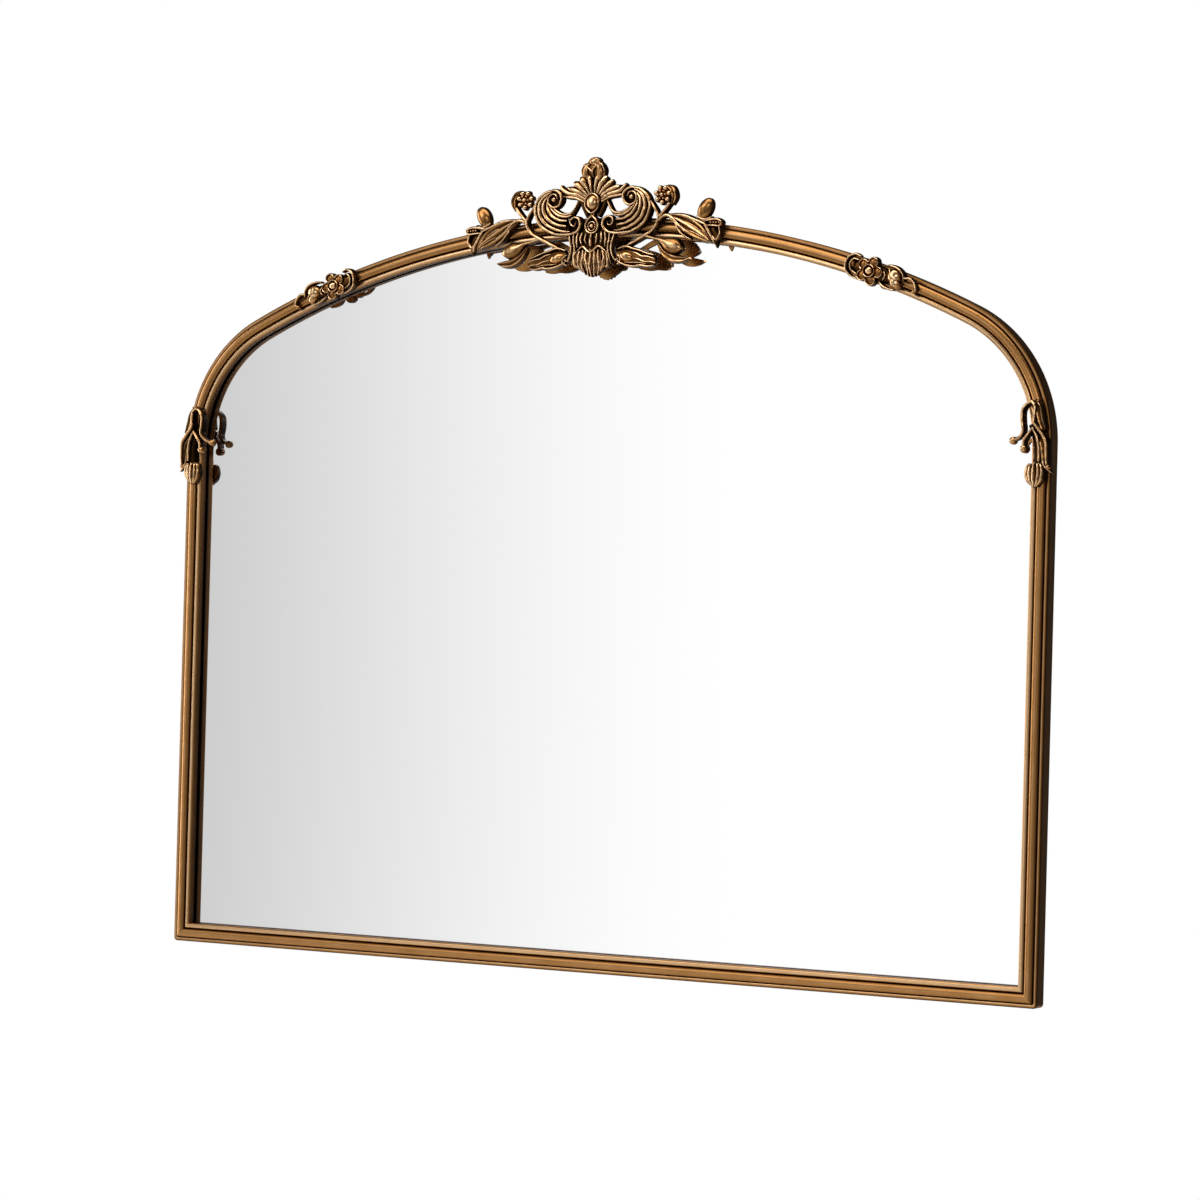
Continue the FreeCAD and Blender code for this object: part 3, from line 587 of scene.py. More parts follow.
class MIRROR_OT_moulding(bpy.types.Operator):
    """Runs the reeded moulding round the glass: bottom rail, two stiles and the two halves of the arch"""

    bl_idname = "arched_mirror.moulding"
    bl_label = "Reeded moulding"

    def execute(self, context):
        sizes = context.scene.mirror_moulding
        section = moulding_section(sizes)
        corner, shoulder = sizes.corner_round / MM, sizes.shoulder_radius / MM
        gilt = moulding_gilding()
        lengths = {
            "bottom_rail": lambda inset: rail_line(inset, corner),
            "right_stile": lambda inset: stile_line(inset, corner),
            "left_stile": lambda inset: flipped(stile_line(inset, corner)),
            "right_arch": lambda inset: arch_line(inset, shoulder),
            "left_arch": lambda inset: flipped(arch_line(inset, shoulder)),
        }
        for name, line in lengths.items():
            settle(swept("reeded_" + name, section, line), gilt, "gilt_wood", name)
        return {"FINISHED"}


# The crest is drawn on the whole part (across from its middle, up from its foot), the roses and sprigs about their
# own middles. Forms given a low shine are the dark ground that others lie on.


def carve_rosebud(carving):
    carving.dome((0, 819.6), 12, 10.6, 6, shine=0.55)
    carving.dome((0.6, 826.6), 7.8, 5.2, 8.2, shine=0.85)
    for rows, shine in (
        ([(-6, 808, 3, 6), (-9, 814, 4.6, 7.8), (-8.6, 820.4, 4.4, 8.2), (-4.6, 825, 2, 7)], 0.85),
        ([(5, 808, 3.2, 6.4), (8.4, 814, 5, 8.8), (6.8, 820.6, 4.8, 9.2), (1.4, 825, 2.2, 7.6)], 0.85),
        ([
            (-11.6, 810.4, 0.9, 6.4), (-13.2, 817, 1.3, 7.8), (-10.2, 823.2, 1.3, 8.4), (-5, 825.6, 0.9, 7.6),
        ], 1.0),
        ([(12.4, 810.4, 0.9, 6.6), (13.6, 817.4, 1.3, 8.2), (10.2, 823.8, 1.3, 9), (4, 826.4, 0.9, 8)], 1.0),
        ([(0.4, 810.8, 0.9, 7.4), (0.2, 816.6, 1.3, 9.6), (4.4, 821.8, 1.3, 10), (9.6, 823.8, 1, 9.2)], 1.0),
        ([(-9, 823.2, 0.9, 8.6), (-4, 819.4, 1.3, 9.4), (0.4, 815.4, 1, 9)], 1.0),
        ([(-5.6, 826.4, 0.9, 7.4), (-1.4, 829.8, 1.2, 8.2), (4.6, 829.4, 1.1, 8), (7.6, 826, 0.8, 7.2)], 1.0),
    ):
        carving.strand(rows, shine=shine)


def carve_palmette(carving, side):
    lobes = [
        [(1.9, 795, 1.5, 6), (3.2, 803, 2.7, 7.6), (4.6, 810, 3.2, 7.4), (5.2, 813, 1.6, 5.5)],
        [(4.6, 794.5, 1.7, 6), (8.6, 802, 3.1, 8.4), (13, 808.2, 4.4, 8.6), (15, 811.4, 2.4, 6)],
        [(7.2, 793, 1.7, 6), (13.4, 799.4, 3, 8.2), (19.6, 804, 3.9, 8), (23, 806.6, 2, 5.6)],
        [(8.8, 791, 1.7, 6), (17, 796.2, 2.9, 8), (25.6, 799.2, 3.4, 7.6), (30.4, 800.8, 1.8, 5.6)],
        [
            (9.6, 788.3, 1.9, 6), (19, 793, 3, 8), (29.5, 795.4, 3.2, 8), (35, 798.4, 3, 7.8),
            (38.8, 803, 1.8, 6.4),
        ],
    ]
    for backing in (
        [(3, 795, 4, 4.8), (8, 803, 9, 4.8), (10, 808, 8, 4.8)],
        [(10, 791, 3, 4.8), (22, 797, 5, 4.8), (33, 798.4, 4, 4.8)],
    ):
        carving.strand(on_side(side, backing), shine=0.12)
    for lobe in lobes:
        carving.strand(on_side(side, lobe))
    rim = [(10.5, 785.8, 1.6, 6.4), (20, 790, 2.1, 7.4), (29, 791.2, 2.1, 7.4), (36, 792.4, 1.5, 6.4)]
    carving.strand(on_side(side, rim))


def carve_medallion(carving):
    carving.dome((0, 784.4), 8.4, 9.8, 5.5, shine=0.3)
    carving.ring((0, 784.6), 8, 9.3, 1.5, 8.8, point=1.2)
    carving.dome((0, 784.8), 6.6, 7.8, 10.2, foot=0.6, shine=0.95)
    for side in (-1, 1):
        for rows, shine in (
            ([(14.6, 787.5, 2.6, 5.2), (11, 779.5, 2.8, 5.2), (6.4, 770.5, 2.4, 5)], 0.3),
            ([(16.6, 787, 2.4, 5.6), (20.6, 779.5, 2.4, 5.8), (25, 772.6, 2.2, 5.6)], 0.4),
            ([
                (17.4, 786, 1.1, 6.6), (21.4, 778.6, 1.4, 7.2), (26, 774.4, 1.7, 7.4),
                (34, 773.8, 2, 7.8), (41, 776.6, 2, 8), (46.4, 781.4, 1.5, 7.2),
            ], 1.0),
        ):
            carving.strand(on_side(side, rows), shine=shine)


def carve_pendant(carving):
    carving.strand([(0, 776, 3.4, 6), (0, 769, 3, 7)], ribs=2)
    carving.dome((0, 761), 7.6, 8.4, 5.4, shine=0.1)
    outer = [
        (0.8, 771), (5.4, 766.6), (7.3, 760.6), (4.9, 755.3), (0, 753.6),
        (-4.9, 755.3), (-7.3, 760.6), (-5.4, 766.6), (-0.8, 771),
    ]
    carving.strand([(across, up, 1.6, 8) for across, up in outer])
    carving.ring((0, 760.6), 4.2, 4.6, 1.15, 7.6)
    carving.dome((0, 760.8), 2.6, 2.8, 9, shine=1.0)


def carve_scroll(carving, side):
    under = [(50, 794, 4, 5), (59, 783, 8, 5.6), (55, 768, 8.4, 5.6), (41, 761, 6.4, 5.2), (28, 758.6, 4, 5)]
    carving.strand(on_side(side, under), shine=0.1)
    locks = [
        [
            (44, 799, 1.2, 6.6), (54, 797.4, 2, 7.6), (63, 791, 2.5, 8.4),
            (67.4, 782, 2.6, 8.6), (65.8, 771.6, 2.7, 8.6), (60, 762.4, 2.6, 8.2),
            (50, 756.2, 2.3, 7.8), (39, 752.8, 1.8, 7), (30, 751.4, 0.9, 5.4),
        ],
        [
            (49, 796.8, 1.2, 7), (57.6, 792, 2.4, 8.8), (62.2, 783, 2.8, 9.6), (60.6, 772.6, 2.9, 9.8),
            (54, 764.4, 2.8, 9.4), (44, 759, 2.4, 8.8), (33, 756.2, 1.8, 8), (26, 755.8, 1, 7),
        ],
        [
            (52.4, 793, 1.2, 7.4), (57, 786, 2.4, 9.2), (56.4, 776.4, 2.8, 10), (50, 768, 2.8, 9.8),
            (40, 763, 2.4, 9.2), (30, 761.4, 1.8, 8.2),
        ],
        [
            (53.4, 788, 1, 7.2), (52.4, 780.4, 2.2, 9), (47, 772.6, 2.6, 9.6), (38, 767.8, 2.4, 9.2),
            (29, 767, 1.7, 8.2),
        ],
        [
            (51, 783, 1, 7), (46, 777.2, 1.9, 8.4), (38, 772.2, 2.2, 8.6), (29, 771.2, 1.7, 7.8),
            (24.6, 772.8, 1, 6.4),
        ],
    ]
    for lock in locks:
        carving.strand(on_side(side, lock))
    carving.dome((side * 45, 789.6), 9, 9.4, 5.2, shine=0.12)
    volute = [
        (53.5, 797, 1.4, 7.4), (45.6, 799, 1.9, 8.2), (38.8, 795.8, 2, 8.6), (36.2, 789.4, 2, 8.8),
        (39.2, 783.2, 2, 8.8), (45.4, 781.2, 1.9, 8.8), (51, 784.4, 1.7, 8.6), (52, 790, 1.5, 8.4),
        (48.4, 794.4, 1.3, 8.4), (43.2, 793.8, 1.2, 8.4), (41, 789.8, 1, 8.2),
    ]
    carving.strand(on_side(side, volute), step=1.0)
    carving.dome((side * 45.8, 789.2), 3.2, 3.3, 9, shine=0.95)
    carving.dome((side * 20.6, 763.2), 8, 7.6, 4.6, shine=0.1)
    hook = [
        (46, 754.4, 1.3, 7.6), (36, 753.2, 1.7, 8), (27, 753, 2, 8.4), (18, 755.4, 2.1, 8.6),
        (13.2, 761.6, 2.1, 8.8), (14.8, 768, 2, 8.8), (20.4, 770.2, 1.8, 8.6), (25, 767.2, 1.6, 8.4),
        (24, 762.6, 1.4, 8.2), (20, 761.4, 1.2, 8.2), (18.8, 764.6, 1, 8),
    ]
    carving.strand(on_side(side, hook), step=1.0)


def carve_fluted_leaf(carving):
    under = [
        (0, 756, 20, 4.6), (0, 748, 24, 5.4), (0, 740, 22.5, 5.8), (0, 731, 24, 5.8),
        (0, 724, 22, 5.4), (0, 716, 14, 5), (0, 711, 5, 4.2), (0, 709.6, 1.5, 3),
    ]
    carving.strand(under, shine=0.12, foot=0.7)
    for place in range(-4, 5):
        across, sway = 4.9 * place, 0.9 * math.sin(2.3 * place + 0.6)
        end = 709 + 0.62 * place * place
        tall = 9.8 - 0.4 * abs(place)
        carving.strand([
            (across * 0.92, 737 - 0.5 * abs(place), 1.6, tall - 0.8), (across + sway, 729, 2.3, tall),
            (across * 0.98 - sway, 720.5, 2.2, tall - 0.6), (across * 0.72, end, 0.8, 5),
        ])
    for place in range(-4, 4):
        across, sway = 4.9 * (place + 0.5), 0.7 * math.cos(1.9 * place)
        carving.strand([
            (across * 0.96, 734, 0.8, 7.6), (across + sway, 727, 1.2, 8.8),
            (across * 0.95 - sway, 719.6, 1.1, 8), (across * 0.72, 712.4 + 0.62 * place * place, 0.6, 5),
        ], shine=0.85)
    carving.strand([(0, 753, 1.4, 8), (0, 747, 2, 9.8), (0, 741.5, 2.4, 9.8), (0, 739.5, 1.2, 8)])
    garland = [
        (-16.4, 735.4, 0.9, 7.6), (-9.4, 740, 1.6, 9.4), (-4, 736.2, 1.7, 10.2), (0, 734, 1.7, 10.4),
        (4, 736.2, 1.7, 10.2), (9.4, 740, 1.6, 9.4), (16.4, 735.4, 0.9, 7.6),
    ]
    carving.strand(garland)
    for side in (-1, 1):
        for rows in (
            [(6.2, 753, 1.2, 7.4), (6.8, 747, 1.7, 8.8), (5.2, 742.4, 1, 8)],
            [(11, 754.4, 1.2, 7), (12.4, 748, 1.8, 8.6), (11, 742.6, 1.2, 8)],
            [(15.8, 754.6, 1.2, 7), (17, 747, 1.8, 8.2), (16.2, 739.4, 1.4, 7.8)],
            [
                (21, 754, 1.2, 6.8), (21, 746, 1.8, 8), (19.6, 738, 1.7, 7.8), (21, 729.6, 1.6, 7.4),
                (22.8, 721.8, 0.9, 5.6),
            ],
            [
                (26.4, 752.6, 1.2, 6.8), (25, 746, 1.8, 8), (23.6, 739, 1.9, 8), (24.8, 731.4, 1.8, 7.8),
                (28.4, 725.6, 1.4, 7.2), (31.4, 727.4, 1, 6.4),
            ],
        ):
            carving.strand(on_side(side, rows))


def carve_side_leaves(carving, side):
    under = ((30, 730, 6), (40, 729, 9.4), (52, 727, 9), (62, 725, 7.6), (70, 723.8, 6), (75, 723.6, 3.4))
    carving.strand([(side * across, up, half, 6.8) for across, up, half in under], shine=0.4, foot=0.5)
    for rows in (
        [
            (31, 736.6, 1, 6.8), (40, 739, 1.7, 8.6), (50, 736.4, 1.7, 9), (58, 734.2, 1.6, 8.8),
            (66, 731.2, 1.4, 8.4), (73, 729.4, 1, 7),
        ],
        [
            (47, 733.4, 1, 7.8), (54, 731.6, 1.5, 9), (60, 728.6, 1.5, 9), (67, 727.8, 1.3, 8.4),
            (74.4, 725.6, 0.9, 7),
        ],
        [
            (49, 727, 1, 7.8), (56, 725.6, 1.5, 8.8), (63, 723, 1.4, 8.6), (70, 722.6, 1.2, 8),
            (75, 721.2, 0.9, 6.8),
        ],
        [
            (31, 724.6, 1, 6.8), (40, 720.4, 1.6, 8.2), (50, 718.6, 1.6, 8.6), (58, 719.4, 1.5, 8.4),
            (66, 718.2, 1.3, 8), (73, 718.8, 0.9, 6.6),
        ],
        [(40, 723, 0.9, 7.6), (48, 722.4, 1.3, 8.2), (57, 722, 1.2, 8), (65, 720.6, 0.9, 7.4)],
    ):
        carving.strand(on_side(side, rows))
    carving.dome((side * 41, 728.8), 9.4, 5.8, 10, lean=side * 16, shine=0.85)
    curl = [(29, 732, 1, 6.4), (33.6, 728.6, 1.7, 7.4), (33.4, 723.4, 1.3, 6.8), (29.6, 721.6, 0.8, 5)]
    carving.strand(on_side(side, curl))


def carve_spray(carving, side):
    lines = [
        ([
            (37, 737.6, 1.8, 6.6), (50, 743.8, 2.6, 7.6), (62, 749.6, 2.5, 8.2), (70, 754, 2.3, 8.4),
            (75.8, 760.6, 2.3, 8.6), (78.2, 768.6, 2.2, 8.6),
        ], 1.0),
        ([(78, 767.6, 2.1, 8.2), (74, 775.6, 2, 8), (68.4, 783.6, 1.7, 7.6)], 1.0),
        ([(78, 767.6, 2.1, 8.2), (84.4, 774, 2.2, 8.4), (90.6, 781.6, 2.3, 8.4)], 1.0),
        ([
            (61, 749.4, 1.5, 7.2), (72, 746.4, 1.8, 8), (80, 744.6, 2.6, 8.8), (85, 742, 5.4, 9.6),
            (90, 739.6, 8.2, 10.3), (95, 737.8, 9.2, 10.6), (100, 736.4, 7.8, 10.2), (104, 735.4, 4.4, 9),
            (106.6, 735, 1, 7),
        ], 0.9),
        ([
            (76, 762, 1.7, 7.2), (81.6, 767.6, 2.2, 8.6), (88, 769, 2.4, 9), (95, 765.4, 2, 9.2),
            (102, 758.4, 1.9, 9.2), (111, 752, 1.7, 8.8), (120, 747, 1, 7),
        ], 1.0),
        ([(97, 761, 1.1, 7.4), (101, 754.6, 1.6, 8.6), (107, 748.4, 1.6, 8.4), (115, 744, 0.9, 7)], 0.95),
        ([(91, 769.6, 1.7, 7), (105, 768.6, 2.2, 8.8), (118, 764.2, 2.2, 9), (131.6, 758.8, 1.8, 8.8)], 1.0),
        ([(103, 763.4, 1, 7.4), (110, 761, 1.5, 8.4), (119, 757, 1.6, 8.6), (127, 751.6, 1, 7.6)], 0.9),
        ([(110, 753.6, 0.9, 7.2), (118, 751, 1.4, 8), (127, 746.6, 1.3, 7.8), (135, 742.4, 0.9, 6.4)], 0.9),
        ([(130.2, 760, 1.8, 8), (135, 752.4, 2.2, 8.4), (140.4, 743.4, 1.8, 7.8), (142.4, 738.4, 1, 6.2)], 1.0),
        ([(126, 757.4, 1.5, 7.2), (130.8, 749.6, 2, 7.8), (136, 742.4, 1.1, 6)], 0.85),
        ([
            (139, 754.4, 4.4, 5.4), (142.6, 746, 5, 5.8), (143.6, 739, 2.6, 5.4), (143.8, 734.6, 0.5, 3.6),
        ], 0.25),
        ([
            (147.2, 755.8, 1.3, 7), (148.2, 748.6, 1.8, 7.8), (143.8, 742.8, 1.7, 7.6), (138.6, 747.4, 1.1, 7),
        ], 0.95),
        ([
            (128.6, 761.6, 1.8, 7.6), (137, 763, 2, 8.6), (145.4, 763, 1.9, 8.8), (150.2, 760, 1.7, 8.6),
            (147.4, 756.6, 1.6, 8.2), (139.6, 757.2, 1.6, 8), (132, 757.4, 1.3, 7.2),
        ], 1.0),
        ([(125.6, 760.6, 2.6, 6.6), (128.2, 766.6, 4.2, 8), (129.8, 771.4, 3.6, 7.6)], 0.6),
        ([(121.4, 767.4, 1.3, 7), (129.6, 763.4, 1.9, 8.2), (138.6, 765.4, 1.3, 7)], 0.95),
    ]
    for rows, shine in lines:
        carving.strand(on_side(side, rows), shine=shine)
    calyx = [(86.4, 799, 1.8, 5.8), (92, 795.4, 3.8, 7.2), (94.8, 787.6, 3.8, 7.4), (92.4, 779.6, 1.8, 6)]
    carving.strand(on_side(side, calyx), ribs=2, shine=0.9, groove=1.5)
    blade = [
        (88, 769, 2, 7), (98, 765.4, 6.4, 8.8), (110, 759.4, 10, 9.4), (122, 752.4, 9.4, 9.2),
        (132, 745.6, 5.4, 8), (138.2, 740.8, 1, 5),
    ]
    carving.strand(on_side(side, blade), ribs=3, groove=2.4, foot=0.5)
    leaf = [
        (77, 740.6, 1.4, 6.4), (84, 731.6, 3.8, 8), (94, 725.6, 4.8, 8.4), (105, 724.4, 3.8, 7.6),
        (113, 725.4, 0.9, 5.6),
    ]
    carving.strand(on_side(side, leaf), ribs=2, groove=1.6, foot=0.5)
    carving.dome((side * 130.5, 774), 8, 12.2, 10, lean=side * 30, shine=0.75)
    carving.dome((side * 143, 760), 6.4, 2.6, 7.4, shine=0.25)
    for bead in range(4):
        carving.dome((side * (138.4 + 3.1 * bead), 760.2 - 0.2 * bead), 1.4, 1.4, 9, shine=1.0)
    carve_beaded_flower(carving, (side * 81, 790), 9.7)


def carve_beaded_flower(carving, middle, reach):
    carving.dome(middle, reach * 0.9, reach * 0.9, 5, shine=0.3)
    carving.dome(middle, 2.7, 2.7, 9.8, shine=1.0)
    for count, share, size, height, first in ((6, 0.44, 1.5, 8.8, 0), (7, 0.78, 3, 7.8, 12)):
        for bead in range(count):
            angle = math.radians(first + 360 * bead / count)
            spot = middle[0] + reach * share * math.cos(angle), middle[1] + reach * share * math.sin(angle)
            carving.dome(spot, size, size, height, shine=1.0)


class MIRROR_OT_crest(bpy.types.Operator):
    """Carves the pierced crest: rosebud, palmette, medallion, C-scrolls, fluted leaf and flower sprays"""

    bl_idname = "arched_mirror.crest"
    bl_label = "Crest"

    def execute(self, context):
        carving = Carving()
        carve_rosebud(carving)
        carve_medallion(carving)
        carve_pendant(carving)
        carve_fluted_leaf(carving)
        for side in (-1, 1):
            carve_palmette(carving, side)
            carve_scroll(carving, side)
            carve_side_leaves(carving, side)
            carve_spray(carving, side)
        piece = carving.piece("carved_crest", lambda across, up: (across, up))
        settle(piece, casting_gilding(), "gilt_resin", "crest")
        return {"FINISHED"}


def carve_rose(carving):
    carving.strand([(-22, 0, 4, 4.6), (-10, 0, 8, 5.2), (10, 0, 8, 5.2), (24, 0, 6, 4.6)], shine=0.3)
    for petal in range(5):
        angle = math.radians(80 + 72 * petal)
        spot = 9 * math.cos(angle), 9 * math.sin(angle)
        carving.dome(spot, 6, 5.6, 8, lean=90 - math.degrees(angle), shine=0.62)
        carving.strand([
            (spot[0] + 5 * math.cos(angle + turn), spot[1] + 5 * math.sin(angle + turn), 1.1, 8.4)
            for turn in (-1.9, -1.2, -0.5, 0.0, 0.5, 1.2, 1.9)
        ])
    carving.dome((0, 0), 6.6, 6.6, 8.6, shine=0.15)
    carving.ring((0, 0), 6, 6, 1.1, 9.8)
    carving.dome((0, 0), 4.3, 4.3, 10.9, foot=0.6, shine=1.0)
    for rows in (
        [
            (-14, 10.6, 0.9, 6), (-20, 11, 1.6, 8), (-25.6, 7, 1.8, 8.8), (-27, 0, 1.8, 9),
            (-24.6, -7, 1.6, 8.2), (-18, -11, 1.3, 7), (-9, -11.6, 0.8, 5.4),
        ],
        [
            (-15, 6.6, 0.9, 6.4), (-20, 6.4, 1.4, 8), (-22.4, 0.6, 1.5, 8.2), (-19.6, -5, 1.3, 7.4),
            (-13, -7, 0.9, 6.4),
        ],
        [
            (14, 9.6, 0.9, 6), (20, 11.6, 1.5, 7.8), (28, 11.6, 1.7, 8.6), (35.4, 8, 1.6, 8.2),
            (38.4, 1, 1.1, 6.8),
        ],
        [(13, -7, 0.9, 6), (18.6, -9.6, 1.4, 7.2), (25, -10.4, 1.3, 7), (31, -9.6, 0.9, 6)],
        [(14.6, 4.4, 0.9, 6.4), (17.6, 0.4, 1.4, 7.6), (16.4, -4.4, 0.9, 6.4)],
        [(37, 4, 1.4, 6.8), (43.6, 6, 1.7, 7.2), (50, 3, 1.6, 6.6), (53, -2.4, 1.4, 5.6), (50.6, -6, 1, 4.8)],
        [(20.4, 8, 0.9, 8), (25, 3.4, 1.2, 10), (32, 0.4, 1.1, 9.4), (36, -3, 0.8, 7.6)],
    ):
        carving.strand(rows)
    carving.dome((-20, 1), 3, 4, 7.4, shine=0.6)
    carving.dome((26.6, 3), 8, 7.4, 9.4, lean=-30, shine=0.95)
    carving.dome((29.4, -2.6), 7.4, 5.6, 8.8, lean=25, shine=0.9)
    carving.dome((51, -5), 2.2, 2.2, 6, shine=0.8)


class MIRROR_OT_roses(bpy.types.Operator):
    """Carves the two shoulder roses with their leaves, buds and tendrils"""

    bl_idname = "arched_mirror.roses"
    bl_label = "Shoulder roses"

    def execute(self, context):
        _, crown, low = crown_circle(context.scene.mirror_moulding.shoulder_radius / MM)
        reach = crown - CASTING_INSET
        turn = math.asin(ROSE_ACROSS / reach)
        middle = reach * math.sin(turn), low + reach * math.cos(turn)

        def place(across, up):
            return (
                middle[0] + across * math.cos(turn) + up * math.sin(turn),
                middle[1] - across * math.sin(turn) + up * math.cos(turn),
            )

        for name, flip in (("right_rose", False), ("left_rose", True)):
            carving = Carving()
            carve_rose(carving)
            settle(carving.piece("carved_" + name, place, flip), casting_gilding(), "gilt_resin", name)
        return {"FINISHED"}


def carve_sprig(carving):
    for rows, ribs, shine, foot in (
        ([(-5, 42, 1.6, 5), (-0.6, 34, 4.2, 7), (1.6, 24, 4.6, 7.6), (5.4, 13, 3.6, 7)], 2, 1.0, 0.4),
        ([
            (1, 9, 2.6, 6), (5.4, -2, 5, 7.4), (7, -13, 5, 7.4), (8.6, -21, 3.6, 6.6), (12.6, -27, 0.8, 4.6),
        ], 2, 1.0, 0.4),
        ([(-9, 18, 2.4, 4.4), (-4, 8, 4, 4.6), (-1, -4, 4.2, 4.6), (-2, -18, 4.2, 4.6)], 1, 0.15, 0.6),
        ([
            (-6, 40.4, 1.5, 7.6), (-12, 37.6, 1.8, 8.8), (-16, 31, 1.9, 9.6), (-16, 21, 1.9, 9.8),
            (-15, 13, 1.8, 9), (-18.6, 6.6, 1.8, 7.6), (-25, 3.6, 1.8, 6),
        ], 1, 1.0, 0.75),
        ([
            (-8, 40.6, 1.4, 7.6), (-3.6, 36, 1.8, 9), (-3.4, 26, 1.9, 10.2), (-3.6, 20, 2, 10.6),
            (2.6, 12, 2, 10.6), (8.6, 3, 2, 10.4), (9.6, -8, 1.9, 9.8), (9.8, -20, 1.6, 8.4),
        ], 1, 1.0, 0.75),
        ([(-5, 15.4, 1.4, 9), (-10, 8.6, 1.8, 9.4), (-14, 3, 1.9, 9.4), (-14.4, -4, 1.8, 9)], 1, 1.0, 0.7),
        ([(-5.4, 15.4, 1.4, 9), (-0.6, 6, 1.8, 8.8), (1.4, -5, 1.8, 8.4), (1.6, -17, 1.5, 7.6)], 1, 1.0, 0.7),
        ([(4.4, -14, 1.3, 6.8), (6.6, -21, 1.7, 7), (10.4, -25, 1.3, 6), (14, -28, 0.7, 4.4)], 1, 1.0, 0.4),
        ([(-2.6, -34, 2.6, 6), (-1.8, -41, 1.1, 4.6)], 1, 0.8, 0.35),
    ):
        carving.strand(rows, ribs=ribs, shine=shine, foot=foot, groove=1.4)
    for across, up, size, height in (
        (-5, 41.4, 1.5, 6.6), (-1.6, 41, 1.4, 6), (-27, 3, 4, 7), (-14.5, -5, 4.4, 9.8), (10.4, -22.4, 2.8, 8),
    ):
        carving.dome((across, up), size, size, height, shine=0.85)
    bud = -3.4
    carving.dome((bud, -30), 9, 11.4, 6.4, shine=0.5)
    for lean, height in ((-8, 8.2), (8, 8.2), (-4.4, 9.2), (4.4, 9.2), (0, 10.2)):
        carving.strand([
            (bud + 0.2 * lean, -41, 1.2, height - 2.4), (bud + 0.8 * lean, -35, 2.5, height - 0.4),
            (bud + lean, -28, 2.7, height), (bud + 0.9 * lean, -22, 1.9, height - 0.6),
            (bud + 0.7 * lean, -19.4, 1, height - 1.8),
        ])


class MIRROR_OT_sprigs(bpy.types.Operator):
    """Carves the two sprigs that cover the joints where the arch springs"""

    bl_idname = "arched_mirror.sprigs"
    bl_label = "Side sprigs"

    def execute(self, context):
        middle = HALF_WIDTH - CASTING_INSET
        for name, flip in (("right_sprig", False), ("left_sprig", True)):
            carving = Carving()
            carve_sprig(carving)
            piece = carving.piece("carved_" + name, lambda across, up: (middle + across, SPRING + up), flip)
            settle(piece, casting_gilding(), "gilt_resin", name)
        return {"FINISHED"}


def silvered_plate():
    """The silvering as it is seen, through the glass, at two thirds of the glass's thickness behind its front."""
    inset = GLASS_LOW.z / MM
    front, back = GLASS_LOW.y / MM, GLASS_HIGH.y / MM
    seen = front + (back - front) / REFRACTION
    shoulder = bpy.context.scene.mirror_moulding.shoulder_radius / MM
    right = [(GLASS_HIGH.x / MM, inset)] + arch_line(inset, shoulder)
    outline = right + flipped(right[-2::-1])
    rows = []
    for shrink, depth in ((0.0, back - 0.02), (0.0, seen + 0.25), (0.35, seen)):
        rows += [(across - math.copysign(shrink, across) * (across != 0), depth, up) for across, up in outline]
    return mesh_piece("silvered_plate", np.array(rows) * MM, ring_faces(3, len(outline)), np.ones(len(rows)), 20)


class MIRROR_OT_glass(bpy.types.Operator):
    """Sets the silvered glass in its rebate"""

    bl_idname = "arched_mirror.glass"
    bl_label = "Mirror glass"

    def execute(self, context):
        material, nodes, links, shader = empty_material("silvered_glass")
        shader.inputs["Metallic"].default_value = 1.0
        tint = grain(nodes, links, 1.5, 1.0)
        links.new(
            stepped(nodes, links, tint, [(0.3, (0.955, 0.96, 0.955)), (0.7, (0.965, 0.97, 0.965))]),
            shader.inputs["Base Color"],
        )
        links.new(ranged(nodes, links, grain(nodes, links, 3.0, 2.0), 0.0, 0.012), shader.inputs["Roughness"])
        settle(silvered_plate(), material, "mirror", "mirror_glass")
        return {"FINISHED"}


def brown_hardboard():
    material, nodes, links, shader = empty_material("brown_hardboard")
    fibres = grain(nodes, links, 260.0, 6.0, 0.7)
    colour = stepped(nodes, links, fibres, [(0.25, (0.13, 0.075, 0.035)), (0.75, (0.24, 0.145, 0.075))])
    links.new(colour, shader.inputs["Base Color"])
    links.new(ranged(nodes, links, fibres, 0.62, 0.8), shader.inputs["Roughness"])
    relief(nodes, links, fibres, shader, 0.3, 0.0003)
    return material


def bare_pine(name, along):
    material, nodes, links, shader = empty_material(name)
    rings = grain(nodes, links, 90.0, 4.0, 0.6, along)
    colour = stepped(nodes, links, rings, [(0.3, (0.42, 0.27, 0.14)), (0.7, (0.62, 0.45, 0.27))])
    links.new(colour, shader.inputs["Base Color"])
    links.new(ranged(nodes, links, rings, 0.55, 0.72), shader.inputs["Roughness"])
    relief(nodes, links, rings, shader, 0.2, 0.0002)
    return material


def plated_metal(name, dark, pale, low, high):
    material, nodes, links, shader = empty_material(name)
    spangle = grain(nodes, links, 420.0, 3.0, 0.5)
    links.new(stepped(nodes, links, spangle, [(0.3, dark), (0.7, pale)]), shader.inputs["Base Color"])
    links.new(ranged(nodes, links, spangle, low, high), shader.inputs["Roughness"])
    shader.inputs["Metallic"].default_value = 1.0
    relief(nodes, links, grain(nodes, links, 1500.0, 2.0), shader, 0.08, 0.0001)
    return material


def grey_rubber():
    material, nodes, links, shader = empty_material("grey_rubber")
    bloom = grain(nodes, links, 300.0, 4.0, 0.6)
    colour = stepped(nodes, links, bloom, [(0.3, (0.032, 0.032, 0.034)), (0.7, (0.055, 0.055, 0.058))])
    links.new(colour, shader.inputs["Base Color"])
    links.new(ranged(nodes, links, bloom, 0.6, 0.78), shader.inputs["Roughness"])
    relief(nodes, links, bloom, shader, 0.2, 0.0002)
    return material


